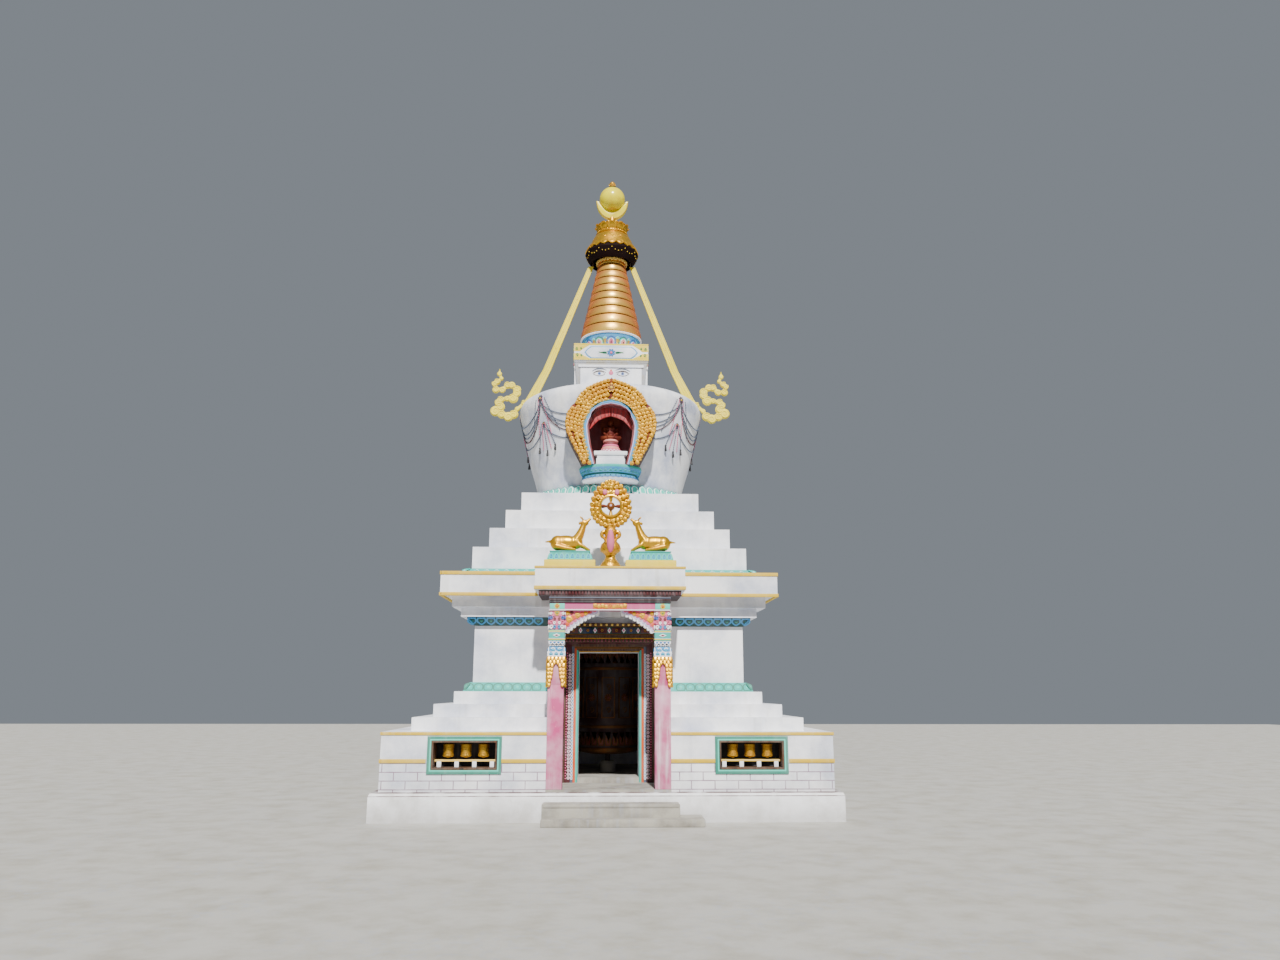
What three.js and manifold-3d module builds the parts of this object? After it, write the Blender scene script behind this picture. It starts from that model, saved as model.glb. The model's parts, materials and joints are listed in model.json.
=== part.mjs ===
// A whitewashed Himalayan stupa with a walk-in ground floor, about 12.3 m tall.
// Units are millimetres, +Z is up, the entrance faces -Y, and the origin is on
// the stupa's axis at ground level.
import * as THREE from 'three';
import { mergeVertices } from 'three/addons/utils/BufferGeometryUtils.js';
import Module from 'manifold-3d';

const wasm = await Module();
wasm.setup();

// Driving dimensions of the square stages: half-width and top level
const BASE = { half: 3500, top: 420, bevel: 50 };
const PLINTH = { half: 3380, top: 1278 };
const STEPS = [{ half: 3014, top: 1479 }, { half: 2738, top: 1675 }, { half: 2469, top: 1869 }];
const CELLA = { half: 2211, inner: 1750, top: 3060 };
const CORNICE_LOW = { half: 2418, top: 3209 };
const CORNICE_HIGH = { half: 2550, top: 3395 };
const FASCIA = { half: 2722, top: 3764 };
const TERRACES = [
  { half: 2287, top: 4222 }, { half: 2046, top: 4584 },
  { half: 1807, top: 4941 }, { half: 1563, top: 5302 },
];
const FLOOR_TOP = 455;

// Porch, door and the two window-like niches that hold three wheels each
const RECESS = 930;
const DOOR = { half: 490, sill: 535, top: 2500, front: 2330, jamb: 740, head: 2770, panel: 2962 };
const PILLAR = { inner: 690, front: 3420, back: 3180, shaft: 1960 };
const PORCH = { half: 1158, front: 3450, roofBottom: 3405, roofTop: 3766 };
const NICHE = { left: 1650, right: 2620, bottom: 755, top: 1153, depth: 380, rim: 85, proud: 22 };
const WHEEL = { radius: 86, bottom: 895, top: 1122, pitch: 263, middle: 2142, depth: 180 };
const RAIL = { bottom: 842, top: 872, deep: 60 };
const GREAT_WHEEL = { radius: 600, bottom: 830, top: 2700, stub: 40 };

// Dome, the niche in it, the square harmika and the ringed spire
const DOME_PROFILE = [
  [1500, 5302], [1500, 5345], [1440, 5420], [1375, 5445], [1398, 5630], [1518, 6030], [1590, 6330],
  [1660, 6640], [1725, 6930], [1768, 7120], [1765, 7200], [1735, 7270], [1660, 7325], [1450, 7390],
  [1100, 7455], [640, 7520],
];
const HARMIKA = { foot: 7520, half: 655, top: 8085, topHalf: 693, panel: 588, panelTop: 7928, slab: 714, slabTop: 8425 };
const RING_FEET = [8750, 8942, 9138, 9326, 9500, 9665, 9832, 9998, 10160, 10320, 10465, 10585, 10685];
const SPIRE_TOP = 10770;

// Finishes, each with its own colour, roughness and metalness
const finish = (color, roughness, metalness = 0) =>
  new THREE.MeshStandardMaterial({ color, roughness, metalness });
const FINISH = {
  whitewash: finish(0xeceef0, 0.85),
  concrete: finish(0x9c988a, 0.95),
  cement: finish(0xa8a190, 0.92),
  gold: finish(0xcf9a2e, 0.38, 0.75),
  brass: finish(0xb88a3c, 0.35, 0.8),
  copper: finish(0xb9752f, 0.42, 0.7),
  aqua: finish(0x8fd3c6, 0.6),
  teal: finish(0x2f8f84, 0.55),
  pink: finish(0xd6799f, 0.6),
  maroon: finish(0x5a1f22, 0.6),
  cream: finish(0xeee6b0, 0.55),
  timber: finish(0x5b4a33, 0.7),
  carving: finish(0xd9a34a, 0.5),
};

// Turns a closed geometry into a manifold solid and back
function toSolid(geometry) {
  const bare = geometry.clone();
  bare.deleteAttribute('normal');
  bare.deleteAttribute('uv');
  const merged = mergeVertices(bare, 1e-3);
  return new wasm.Manifold(new wasm.Mesh({
    numProp: 3,
    vertProperties: new Float32Array(merged.attributes.position.array),
    triVerts: new Uint32Array(merged.index.array),
  }));
}

function toGeometry(solid) {
  const mesh = solid.getMesh();
  const geometry = new THREE.BufferGeometry();
  geometry.setAttribute('position', new THREE.BufferAttribute(new Float32Array(mesh.vertProperties), 3));
  geometry.setIndex(new THREE.BufferAttribute(new Uint32Array(mesh.triVerts), 1));
  geometry.computeVertexNormals();
  return geometry;
}

const join = (...geometries) => toGeometry(geometries.map(toSolid).reduce((a, b) => a.add(b)));
const cut = (geometry, ...tools) =>
  toGeometry(tools.map(toSolid).reduce((a, b) => a.subtract(b), toSolid(geometry)));

// Axis-aligned block from its two corners
function block([x0, x1], [y0, y1], [z0, z1]) {
  return new THREE.BoxGeometry(x1 - x0, y1 - y0, z1 - z0)
    .translate((x0 + x1) / 2, (y0 + y1) / 2, (z0 + z1) / 2);
}

// Centred square block with the given half-width
const slab = (half, z0, z1) => block([-half, half], [-half, half], [z0, z1]);

// Solid of revolution about the vertical axis; the profile is [radius, z] from
// bottom to top and is closed along the axis
function turned(profile, segments = 48) {
  const points = profile.map(([r, z]) => new THREE.Vector2(r, z));
  const first = points[0].x > 0 ? [new THREE.Vector2(0, points[0].y)] : [];
  const last = points.at(-1).x > 0 ? [new THREE.Vector2(0, points.at(-1).y)] : [];
  return new THREE.LatheGeometry([...first, ...points, ...last], segments).rotateX(Math.PI / 2);
}

// Hollow ring of revolution from a closed [radius, z] profile
function turnedRing(profile, segments = 48) {
  const points = [...profile, profile[0]].map(([r, z]) => new THREE.Vector2(r, z));
  return new THREE.LatheGeometry(points, segments).rotateX(Math.PI / 2);
}

// Plate in the XZ plane from an outline of [x, z] points, between two depths
function plate(outline, y0, y1, holes = []) {
  const shape = new THREE.Shape(outline.map(([x, z]) => new THREE.Vector2(x, z)));
  holes.forEach((hole) => shape.holes.push(new THREE.Path(hole.map(([x, z]) => new THREE.Vector2(x, z)))));
  return new THREE.ExtrudeGeometry(shape, { depth: y1 - y0, bevelEnabled: false })
    .rotateX(Math.PI / 2).translate(0, y1, 0);
}

// Moulding run round a square tower; profile points are [half-width, z], and a
// gap of the given half-width is left in the middle of the front
function moulding(profile, gap = 0) {
  const stations = profile.map(([w, z]) => {
    const ring = [[-w, -w, z], [-w, w, z], [w, w, z], [w, -w, z]];
    return gap ? [[-gap, -w, z], ...ring, [gap, -w, z]] : ring;
  });
  const n = profile.length;
  const m = stations[0].length;
  const position = [];
  for (let s = 0; s < m; s += 1) for (let p = 0; p < n; p += 1) position.push(...stations[p][s]);
  const index = [];
  const spans = gap ? m - 1 : m;
  for (let s = 0; s < spans; s += 1) {
    for (let p = 0; p < n; p += 1) {
      const a = s * n + p;
      const b = s * n + ((p + 1) % n);
      const c = ((s + 1) % m) * n + ((p + 1) % n);
      const d = ((s + 1) % m) * n + p;
      index.push(a, b, c, a, c, d);
    }
  }
  if (gap) {
    const caps = THREE.ShapeUtils.triangulateShape(profile.map(([w, z]) => new THREE.Vector2(w, z)), []);
    const end = (m - 1) * n;
    for (const [i, j, k] of caps) {
      index.push(i, k, j);
      index.push(end + i, end + j, end + k);
    }
  }
  const geometry = new THREE.BufferGeometry();
  geometry.setAttribute('position', new THREE.Float32BufferAttribute(position, 3));
  geometry.setIndex(index);
  return geometry;
}

// Square tower with level edges from [half-width, z] points, bottom to top
function tower(levels) {
  const position = levels.flatMap(([w, z]) => [-w, -w, z, w, -w, z, w, w, z, -w, w, z]);
  const index = [0, 2, 1, 0, 3, 2];
  for (let level = 0; level < levels.length - 1; level += 1) {
    for (let side = 0; side < 4; side += 1) {
      const a = level * 4 + side;
      const b = level * 4 + ((side + 1) % 4);
      index.push(a, b, b + 4, a, b + 4, a + 4);
    }
  }
  const t = (levels.length - 1) * 4;
  index.push(t, t + 1, t + 2, t, t + 2, t + 3);
  const geometry = new THREE.BufferGeometry();
  geometry.setAttribute('position', new THREE.Float32BufferAttribute(position, 3));
  geometry.setIndex(index);
  return geometry;
}

const mirrorX = (geometry) => {
  const copy = geometry.clone().scale(-1, 1, 1);
  const { array } = copy.index ?? mergeVertices(copy).index;
  for (let i = 0; i < array.length; i += 3) [array[i + 1], array[i + 2]] = [array[i + 2], array[i + 1]];
  copy.computeVertexNormals();
  return copy;
};

const group = new THREE.Group();

// Adds one named sub-part and returns it
function piece(name, geometry, material, parent = group) {
  if (!geometry.attributes.normal) geometry.computeVertexNormals();
  const mesh = new THREE.Mesh(geometry, material);
  mesh.name = name;
  parent.add(mesh);
  return mesh;
}

// Base, entrance steps and the floor that runs from the porch into the chamber
piece('base_plinth', tower([[BASE.half, 0], [BASE.half, BASE.top - BASE.bevel], [BASE.half - 25, BASE.top]]),
  FINISH.whitewash);
piece('entrance_steps', join(
  block([-960, 1030], [-3800, -3500], [0, 290]),
  block([-960, 1370], [-4020, -3500], [0, 110]),
), FINISH.concrete);
piece('floor', cut(join(
  block([-RECESS, RECESS], [-3440, -CELLA.half], [BASE.top, FLOOR_TOP]),
  block([-DOOR.half, DOOR.half], [-DOOR.front, -CELLA.inner], [BASE.top, DOOR.sill]),
  block([-CELLA.inner, CELLA.inner], [-CELLA.inner, CELLA.inner], [BASE.top, FLOOR_TOP]),
  turned([[150, BASE.top + 10], [150, 600], [110, 640]], 24),
), turned([[GREAT_WHEEL.stub + 2, 560], [GREAT_WHEEL.stub + 2, 700]], 24)), FINISH.cement);

// Ground storey: stepped masonry blocks round the chamber, with the niches cut
// in their outer faces
const storey = [{ half: PLINTH.half, bottom: BASE.top, top: PLINTH.top }];
STEPS.forEach((step, i) => storey.push({ ...step, bottom: i ? STEPS[i - 1].top : PLINTH.top }));

// One side of the stepped masonry ring, mitred at the corners; the front faces
// -Y and the others are the same ring turned about the axis
function ringSide(turn, gapHalf = 0) {
  const reach = PLINTH.half + 200;
  const wedge = new THREE.ExtrudeGeometry(
    new THREE.Shape([[0, -0.2], [-reach, -reach - 0.2], [reach, -reach - 0.2]]
      .map(([x, y]) => new THREE.Vector2(x, y))), { depth: 4000, bevelEnabled: false });
  const steps = storey.map(({ half, bottom, top }) => block([-half, half], [-half, -CELLA.half], [bottom, top]));
  const ring = toSolid(join(...steps)).intersect(toSolid(wedge));
  const gap = block([-gapHalf, gapHalf], [-reach, 0], [0, 4000]);
  return { solid: gapHalf ? ring.subtract(toSolid(gap)) : ring, turn };
}

const nicheSpan = (sign) => [NICHE.left, NICHE.right].map((v) => sign * v).sort((a, b) => a - b);
const nicheCut = (sign) => toSolid(block(nicheSpan(sign),
  [-PLINTH.half - 50, -PLINTH.half + NICHE.depth], [NICHE.bottom, NICHE.top]));

function rimOutline(sign) {
  const x = [NICHE.left - NICHE.rim * 0.55, NICHE.right + NICHE.rim].map((v) => sign * v).sort((a, b) => a - b);
  return [[x[0], 672], [x[1], 672], [x[1], 1216], [x[0], 1216]];
}

// Projecting frame round one niche, with the rail that carries its wheels
function nicheFrame(sign) {
  const hole = [NICHE.left, NICHE.right].map((v) => sign * v).sort((a, b) => a - b);
  const front = -PLINTH.half - NICHE.proud;
  const rim = plate(rimOutline(sign), front, -PLINTH.half, [[
    [hole[0] + 12, NICHE.bottom + 12], [hole[0] + 12, NICHE.top - 12],
    [hole[1] - 12, NICHE.top - 12], [hole[1] - 12, NICHE.bottom + 12],
  ]]);
  const lining = plate(
    [[hole[0] + 0.3, NICHE.bottom + 0.3], [hole[1] - 0.3, NICHE.bottom + 0.3],
      [hole[1] - 0.3, NICHE.top - 0.3], [hole[0] + 0.3, NICHE.top - 0.3]],
    front + 5, -PLINTH.half + NICHE.depth - 0.3,
    [[[hole[0] + 12, NICHE.bottom + 12], [hole[0] + 12, NICHE.top - 12],
      [hole[1] - 12, NICHE.top - 12], [hole[1] - 12, NICHE.bottom + 12]]],
  );
  const middle = -PLINTH.half + WHEEL.depth;
  const rail = block([hole[0] + 6, hole[1] - 6],
    [middle - RAIL.deep / 2, middle + RAIL.deep / 2], [RAIL.bottom, RAIL.top]);
  const posts = [-1.5, -0.5, 0.5, 1.5].map((k) => {
    const x = sign * WHEEL.middle + k * WHEEL.pitch;
    return block([x - 32, x + 32], [middle - 28, middle + 28], [NICHE.bottom + 6, RAIL.bottom + 5]);
  });
  return join(rim, lining, rail, ...posts);
}

// Barrel of one prayer wheel with the stub axles that turn in its frame
function prayerWheel(low, high) {
  const r = WHEEL.radius;
  return turned([
    [9, low], [9, WHEEL.bottom], [r * 0.6, WHEEL.bottom], [r, WHEEL.bottom + 16],
    [r, WHEEL.top - 16], [r * 0.6, WHEEL.top], [9, WHEEL.top], [9, high],
  ], 12);
}

const wheelX = (sign, number) => sign * WHEEL.middle + (number - 2) * WHEEL.pitch;
const wheelY = -PLINTH.half + WHEEL.depth;
const frontRing = ringSide(0, RECESS).solid;
[['left', -1], ['right', 1]].forEach(([side, sign]) => {
  const half = toSolid(block(sign < 0 ? [-4000, 0] : [0, 4000], [-4000, 0], [0, 4000]));
  piece(`plinth_front_${side}`, toGeometry(frontRing.intersect(half).subtract(nicheCut(sign))),
    FINISH.whitewash);
  piece(`wheel_niche_${side}`, nicheFrame(sign), FINISH.teal);
  [1, 2, 3].forEach((number) => {
    const mesh = piece(`prayer_wheel_${side}_${number}`,
      prayerWheel(RAIL.top + 0.3, NICHE.top - 12 - 0.3), FINISH.brass);
    mesh.position.set(wheelX(sign, number), wheelY, 0);
  });
});

// The three unseen sides repeat the two niches; their six wheels stand on one
// rail that runs through the masonry between the niches
const railSpan = [-NICHE.right + 0.3, NICHE.right - 0.3];
const railDepth = [wheelY - RAIL.deep / 2, wheelY + RAIL.deep / 2];
const railSlot = toSolid(block([-NICHE.right, NICHE.right],
  [railDepth[0] - 0.3, railDepth[1] + 0.3], [RAIL.bottom - 0.3, RAIL.top + 0.3]));
const fixedWheel = [[12, RAIL.top - 10], [12, WHEEL.bottom], [WHEEL.radius, WHEEL.bottom],
  [WHEEL.radius, WHEEL.top], [12, WHEEL.top], [12, NICHE.top - 0.3]];
Object.entries({ left: -Math.PI / 2, right: Math.PI / 2, back: Math.PI }).forEach(([side, turn]) => {
  let wall = ringSide(turn).solid;
  [-1, 1].forEach((sign) => {
    const rim = plate(rimOutline(sign), -PLINTH.half - NICHE.proud, -PLINTH.half + 5);
    wall = wall.add(toSolid(rim)).subtract(nicheCut(sign));
  });
  const wheels = [-1, 1].flatMap((sign) => [1, 2, 3].map((number) =>
    turned(fixedWheel, 8).translate(wheelX(sign, number), wheelY, 0)));
  piece(`plinth_${side}`, toGeometry(wall.subtract(railSlot)).rotateZ(turn), FINISH.whitewash);
  piece(`niche_wheels_${side}`, join(block(railSpan, railDepth, [RAIL.bottom, RAIL.top]), ...wheels)
    .rotateZ(turn), FINISH.brass);
});

// Chamber walls: the front one is split beside and over the doorway
piece('cella_front_left', block([-CELLA.half, -DOOR.half], [-CELLA.half, -CELLA.inner],
  [BASE.top, CELLA.top]), FINISH.whitewash);
piece('cella_front_right', block([DOOR.half, CELLA.half], [-CELLA.half, -CELLA.inner],
  [BASE.top, CELLA.top]), FINISH.whitewash);
piece('cella_over_door', block([-DOOR.half, DOOR.half], [-CELLA.half, -CELLA.inner],
  [DOOR.top, CELLA.top]), FINISH.whitewash);
piece('cella_rear', cut(
  block([-CELLA.half, CELLA.half], [-CELLA.inner, CELLA.half], [BASE.top, CELLA.top]),
  block([-CELLA.inner, CELLA.inner], [-CELLA.inner - 10, CELLA.inner], [BASE.top - 10, CELLA.top + 10]),
), FINISH.whitewash);

// Great prayer wheel in the chamber: a drum on stub axles between floor and ceiling
piece('great_prayer_wheel', turned([
  [GREAT_WHEEL.stub, 560.3], [GREAT_WHEEL.stub, GREAT_WHEEL.bottom - 60], [300, GREAT_WHEEL.bottom - 60],
  [GREAT_WHEEL.radius, GREAT_WHEEL.bottom], [GREAT_WHEEL.radius, GREAT_WHEEL.top],
  [300, GREAT_WHEEL.top + 70], [GREAT_WHEEL.stub, GREAT_WHEEL.top + 70],
  [GREAT_WHEEL.stub, CELLA.top - 0.3],
], 28), FINISH.maroon);

// Painted lotus courses below and above the chamber walls, open at the porch
piece('lotus_course_lower', moulding([[CELLA.half, 1869], [CELLA.half + 139, 1869],
  [CELLA.half + 130, 1885], [CELLA.half + 40, 2012], [CELLA.half, 2014]], RECESS + 40), FINISH.aqua);
piece('lotus_course_upper', moulding([[CELLA.half, 2922], [CELLA.half + 12, 2925],
  [CELLA.half + 118, 3040], [CELLA.half + 118, 3060], [CELLA.half, 3060]], RECESS + 40), FINISH.teal);

// Corbelled cornice, which is also the chamber's ceiling, and the terraces
piece('cornice_course_lower', slab(CORNICE_LOW.half, CELLA.top, CORNICE_LOW.top), FINISH.whitewash);
piece('cornice_course_upper', slab(CORNICE_HIGH.half, CORNICE_LOW.top, CORNICE_HIGH.top), FINISH.whitewash);
piece('cornice_fascia', slab(FASCIA.half, CORNICE_HIGH.top, FASCIA.top), FINISH.whitewash);
piece('lotus_course_roof', tower([[2440, FASCIA.top], [2420, FASCIA.top + 30], [2300, FASCIA.top + 92],
  [2290, FASCIA.top + 96]]), FINISH.aqua);
TERRACES.forEach(({ half, top }, i) => {
  const bottom = i ? TERRACES[i - 1].top : FASCIA.top + 96;
  piece(`terrace_${i + 1}`, slab(half, bottom, top), FINISH.whitewash);
});

// Door surround: jambs and lintel in one frame, with a carved head panel over it
piece('door_frame', plate(
  [[-DOOR.jamb, FLOOR_TOP], [-DOOR.half, FLOOR_TOP], [-DOOR.half, DOOR.top], [DOOR.half, DOOR.top],
    [DOOR.half, FLOOR_TOP], [DOOR.jamb, FLOOR_TOP], [DOOR.jamb, DOOR.head], [-DOOR.jamb, DOOR.head]],
  -DOOR.front, -CELLA.half), FINISH.timber);
piece('door_head_panel', plate([[-DOOR.jamb, DOOR.head], [DOOR.jamb, DOOR.head],
  [DOOR.jamb - 30, DOOR.panel], [-DOOR.jamb + 30, DOOR.panel]], -DOOR.front - 60, -CELLA.half),
FINISH.timber);

// Porch: two square pillars with painted capitals, beam, cloud bracket and roof
const capital = [
  [1960, 2382, 25], [2382, 2532, 12], [2532, 2622, -20], [2622, 2790, 0], [2790, 3091, 4],
];
[['left', -1], ['right', 1]].forEach(([side, sign]) => {
  const x = (grow) => [PILLAR.inner - grow, RECESS + grow].map((v) => sign * v).sort((a, b) => a - b);
  piece(`pillar_${side}`, join(
    block(x(0), [-PILLAR.front, -PILLAR.back], [FLOOR_TOP, capital[0][0]]),
    ...capital.map(([z0, z1, grow]) =>
      block(x(grow), [-PILLAR.front - grow, -PILLAR.back + grow], [z0, z1])),
  ), FINISH.pink);
});
piece('porch_beam', join(
  block([-RECESS, RECESS], [-PILLAR.front - 10, -PILLAR.back + 10], [3091, 3200]),
  ...[-1, 1].map((sign) => block([PILLAR.inner, RECESS].map((v) => sign * v).sort((a, b) => a - b),
    [-PILLAR.back - 10, -CORNICE_LOW.half], [3091, 3200])),
), FINISH.pink);
const scallops = [[665, 2775], [650, 2812], [598, 2820], [585, 2856], [528, 2866], [512, 2900],
  [455, 2912], [437, 2945], [378, 2957], [360, 2988], [298, 3000], [278, 3028], [215, 3036], [190, 3068]];
piece('arch_bracket', plate([
  [-685, 3091], [-685, 2775], ...scallops.map(([x, z]) => [-x, z]),
  ...[...scallops].reverse(), [685, 2775], [685, 3091],
], -PILLAR.front + 60, -PILLAR.back - 60), FINISH.carving);
piece('porch_frieze', join(
  block([-RECESS, RECESS], [-PILLAR.front - 25, -CORNICE_LOW.half], [3200, CORNICE_LOW.top]),
  block([-RECESS, RECESS], [-PILLAR.front - 25, -CORNICE_HIGH.half], [CORNICE_LOW.top, 3314]),
  block([-1100, 1100], [-PORCH.front + 40, -CORNICE_HIGH.half], [3314, 3395]),
), FINISH.maroon);
piece('porch_roof', block([-PORCH.half, PORCH.half], [-PORCH.front, -FASCIA.half],
  [3395, PORCH.roofTop]), FINISH.whitewash);

// Gilded wheel between two kneeling deer on the porch roof
const roofY = -3250;
const wheelEgg = (scale, z0, count = 28) => Array.from({ length: count }, (_, i) => {
  const angle = (i / count) * 2 * Math.PI;
  const rise = Math.sin(angle);
  return [Math.cos(angle) * 340 * scale, z0 + rise * (rise > 0 ? 470 : 335) * scale];
});
const HUB = 4745;
const ring = plate(wheelEgg(1, 4712), roofY - 45, roofY + 45,
  [Array.from({ length: 24 }, (_, i) => {
    const angle = (-i / 24) * 2 * Math.PI;
    return [Math.cos(angle) * 150, HUB + Math.sin(angle) * 150];
  })]);
const spokes = [0, 1].map((i) => new THREE.BoxGeometry(i ? 310 : 46, 40, i ? 46 : 310)
  .translate(0, roofY, HUB));
const hub = new THREE.CylinderGeometry(56, 56, 80, 20).translate(0, roofY, HUB);
piece('gilded_wheel', join(ring, ...spokes, hub, turned([
  [165, PORCH.roofTop], [165, 3800], [120, 3850], [70, 3890], [150, 3960], [165, 4040], [120, 4140],
  [75, 4190], [120, 4250], [135, 4310], [90, 4360], [60, 4400],
], 24).translate(0, roofY, 0)), FINISH.gold);

const ellipsoid = (x, y, z, rx, ry, rz) =>
  new THREE.SphereGeometry(1, 12, 7).scale(rx, ry, rz).translate(x, y, z);
const limb = (from, to, r0, r1) => {
  const a = new THREE.Vector3(...from);
  const b = new THREE.Vector3(...to);
  const axis = new THREE.Vector3().subVectors(b, a);
  return new THREE.CylinderGeometry(r1, r0, axis.length(), 6)
    .applyQuaternion(new THREE.Quaternion().setFromUnitVectors(new THREE.Vector3(0, 1, 0),
      axis.clone().normalize()))
    .translate((a.x + b.x) / 2, (a.y + b.y) / 2, (a.z + b.z) / 2);
};
const deer = join(
  block([-1035, -250], [roofY - 150, roofY + 150], [PORCH.roofTop, 3880]),
  block([-990, -292], [roofY - 125, roofY + 125], [3875, 4012]),
  ellipsoid(-720, roofY, 4130, 235, 105, 118),
  ellipsoid(-880, roofY, 4125, 125, 110, 118),
  limb([-590, roofY, 4150], [-440, roofY, 4440], 88, 48),
  ellipsoid(-395, roofY, 4470, 85, 42, 46),
  limb([-370, roofY, 4478], [-300, roofY, 4530], 40, 20),
  limb([-450, roofY - 30, 4470], [-520, roofY - 62, 4560], 22, 7),
  limb([-450, roofY + 30, 4470], [-520, roofY + 62, 4560], 22, 7),
  limb([-960, roofY, 4150], [-1030, roofY, 4185], 26, 12),
  limb([-640, roofY - 70, 4050], [-430, roofY - 70, 4035], 38, 24),
  limb([-640, roofY + 70, 4050], [-430, roofY + 70, 4035], 38, 24),
  limb([-900, roofY - 80, 4050], [-700, roofY - 80, 4032], 46, 26),
  limb([-900, roofY + 80, 4050], [-700, roofY + 80, 4032], 46, 26),
);
piece('deer_left', deer, FINISH.gold);
piece('deer_right', mirrorX(deer), FINISH.gold);

// Bell-shaped dome with the arched niche sunk into its front
const NICHE_FOOT = 5766;
const archRight = [[270, NICHE_FOOT], [309, 5918], [355, 6110], [388, 6304], [402, 6440], [392, 6530],
  [352, 6605], [338, 6690], [262, 6775], [156, 6830], [0, 6857]];
const opening = [...archRight, ...archRight.slice(0, -1).reverse().map(([x, z]) => [-x, z])];
const recess = plate(opening, -2200, -1120);
const dome = toSolid(turned(DOME_PROFILE, 40));
piece('dome', toGeometry(dome.subtract(toSolid(recess))), FINISH.whitewash);

const domeSkin = toSolid(turned(DOME_PROFILE.map(([r, z]) => [r + 0.4, z]), 40));
const haloRight = [[495, NICHE_FOOT], [553, 5885], [632, 6028], [703, 6170], [757, 6285], [799, 6385],
  [812, 6490], [804, 6607], [767, 6728], [693, 6843], [638, 6885], [608, 6973], [541, 7068], [438, 7171],
  [314, 7240], [157, 7305], [0, 7350]];
const horseshoe = [...[...archRight].reverse().map(([x, z]) => [-x, z]),
  ...haloRight.map(([x, z]) => [-x, z]), ...haloRight.slice(0, -1).reverse(),
  ...archRight.slice(0, -1)];
piece('dome_niche_frame', toGeometry(toSolid(plate(horseshoe, -1880, -1300)).subtract(domeSkin)),
  FINISH.gold);
piece('dome_niche_shelf', toGeometry(toSolid(new THREE.CylinderGeometry(560, 500, 262, 40)
  .rotateX(Math.PI / 2).scale(1, 0.82, 1).translate(0, -1450, NICHE_FOOT - 0.4 - 131)).subtract(domeSkin)),
FINISH.teal);
piece('niche_pedestal', join(
  block([-256, 256], [-1800, -1180], [NICHE_FOOT + 0.3, 5885]),
  block([-240, 240], [-1780, -1180], [5884, 5945]),
  block([-296, 296], [-1800, -1180], [5944, 6020]),
), FINISH.whitewash);
const seatY = -1420;
piece('seated_figure', join(
  new THREE.CylinderGeometry(135, 210, 280, 24).rotateX(Math.PI / 2).translate(0, seatY, 6160.3),
  ellipsoid(0, seatY, 6340, 190, 120, 60),
  ellipsoid(0, seatY + 10, 6450, 100, 70, 125),
  ellipsoid(0, seatY + 10, 6530, 122, 64, 46),
  ellipsoid(0, seatY - 2, 6628, 54, 56, 66),
  ellipsoid(0, seatY, 6694, 26, 26, 26),
), FINISH.copper);

// Harmika: flared square box with a raised panel on each side, and the painted slab over it
const flare = tower([[HARMIKA.half, HARMIKA.foot], [HARMIKA.topHalf, HARMIKA.top]]);
const panelFace = HARMIKA.topHalf + 12;
piece('harmika_box', join(flare, ...[[1, 0], [0, 1]].map(([a, b]) => block(
  a ? [-HARMIKA.panel, HARMIKA.panel] : [-panelFace, panelFace],
  b ? [-HARMIKA.panel, HARMIKA.panel] : [-panelFace, panelFace],
  [HARMIKA.foot, HARMIKA.panelTop]))), FINISH.whitewash);
piece('harmika_slab', slab(HARMIKA.slab, HARMIKA.top, HARMIKA.slabTop), FINISH.whitewash);

// Spire: lotus seat, thirteen rings and the umbrella with its finial
const ringRadius = (z) => 603 - (z - 8750) * 0.208;
const spireProfile = [[470, HARMIKA.slabTop], [560, 8520], [600, 8640], [606, 8728], [585, 8742]];
RING_FEET.forEach((z, i) => {
  const next = RING_FEET[i + 1] ?? SPIRE_TOP;
  const height = next - z;
  const r = ringRadius(z);
  spireProfile.push([r - 14, z], [r, z + 16], [r - 26, next - 14]);
});
spireProfile.push([150, SPIRE_TOP]);
piece('spire', turned(spireProfile, 20), FINISH.copper);
const fringeProfile = [[512, 10580], [405, 10378], [432, 10376], [540, 10580], [500, 10658],
  [300, 10712], [300, 10684], [476, 10636]];
piece('umbrella_fringe', turnedRing(fringeProfile, 24), FINISH.timber);
const fringeSkin = toSolid(turnedRing(fringeProfile, 24).translate(0, 0, -0.4));
piece('umbrella', turned([[160, SPIRE_TOP + 0.3], [300, SPIRE_TOP + 0.3], [300, 10712.3], [496, 10659.4],
  [490, 10685], [455, 10760], [415, 10850], [375, 10940], [332, 11005], [300, 11012], [296, 11066],
  [262, 11080]], 24), FINISH.gold);
const leaves = turned([[262, 11080.3], [286, 11110], [328, 11180], [378, 11250], [345, 11256],
  [290, 11180], [120, 11175]], 20);
piece('leaf_crown', leaves, FINISH.gold);
const moon = plate([...Array.from({ length: 21 }, (_, i) => {
  const angle = Math.PI + (i / 20) * Math.PI;
  return [Math.cos(angle) * 328, 11800 + Math.sin(angle) * 400];
}), ...Array.from({ length: 13 }, (_, i) => {
  const angle = -(i / 12) * Math.PI;
  return [Math.cos(angle) * 286, 11806 + Math.sin(angle) * 212];
})], -40, 40);
piece('moon_and_sun', join(
  turned([[110, 11175.3], [60, 11215], [60, 11430]], 20), moon,
  ellipsoid(0, 0, 11848, 264, 264, 264),
  turned([[40, 12100], [73, 12128], [73, 12146], [44, 12160], [58, 12190], [50, 12225], [8, 12270]], 16),
), FINISH.gold);

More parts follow.
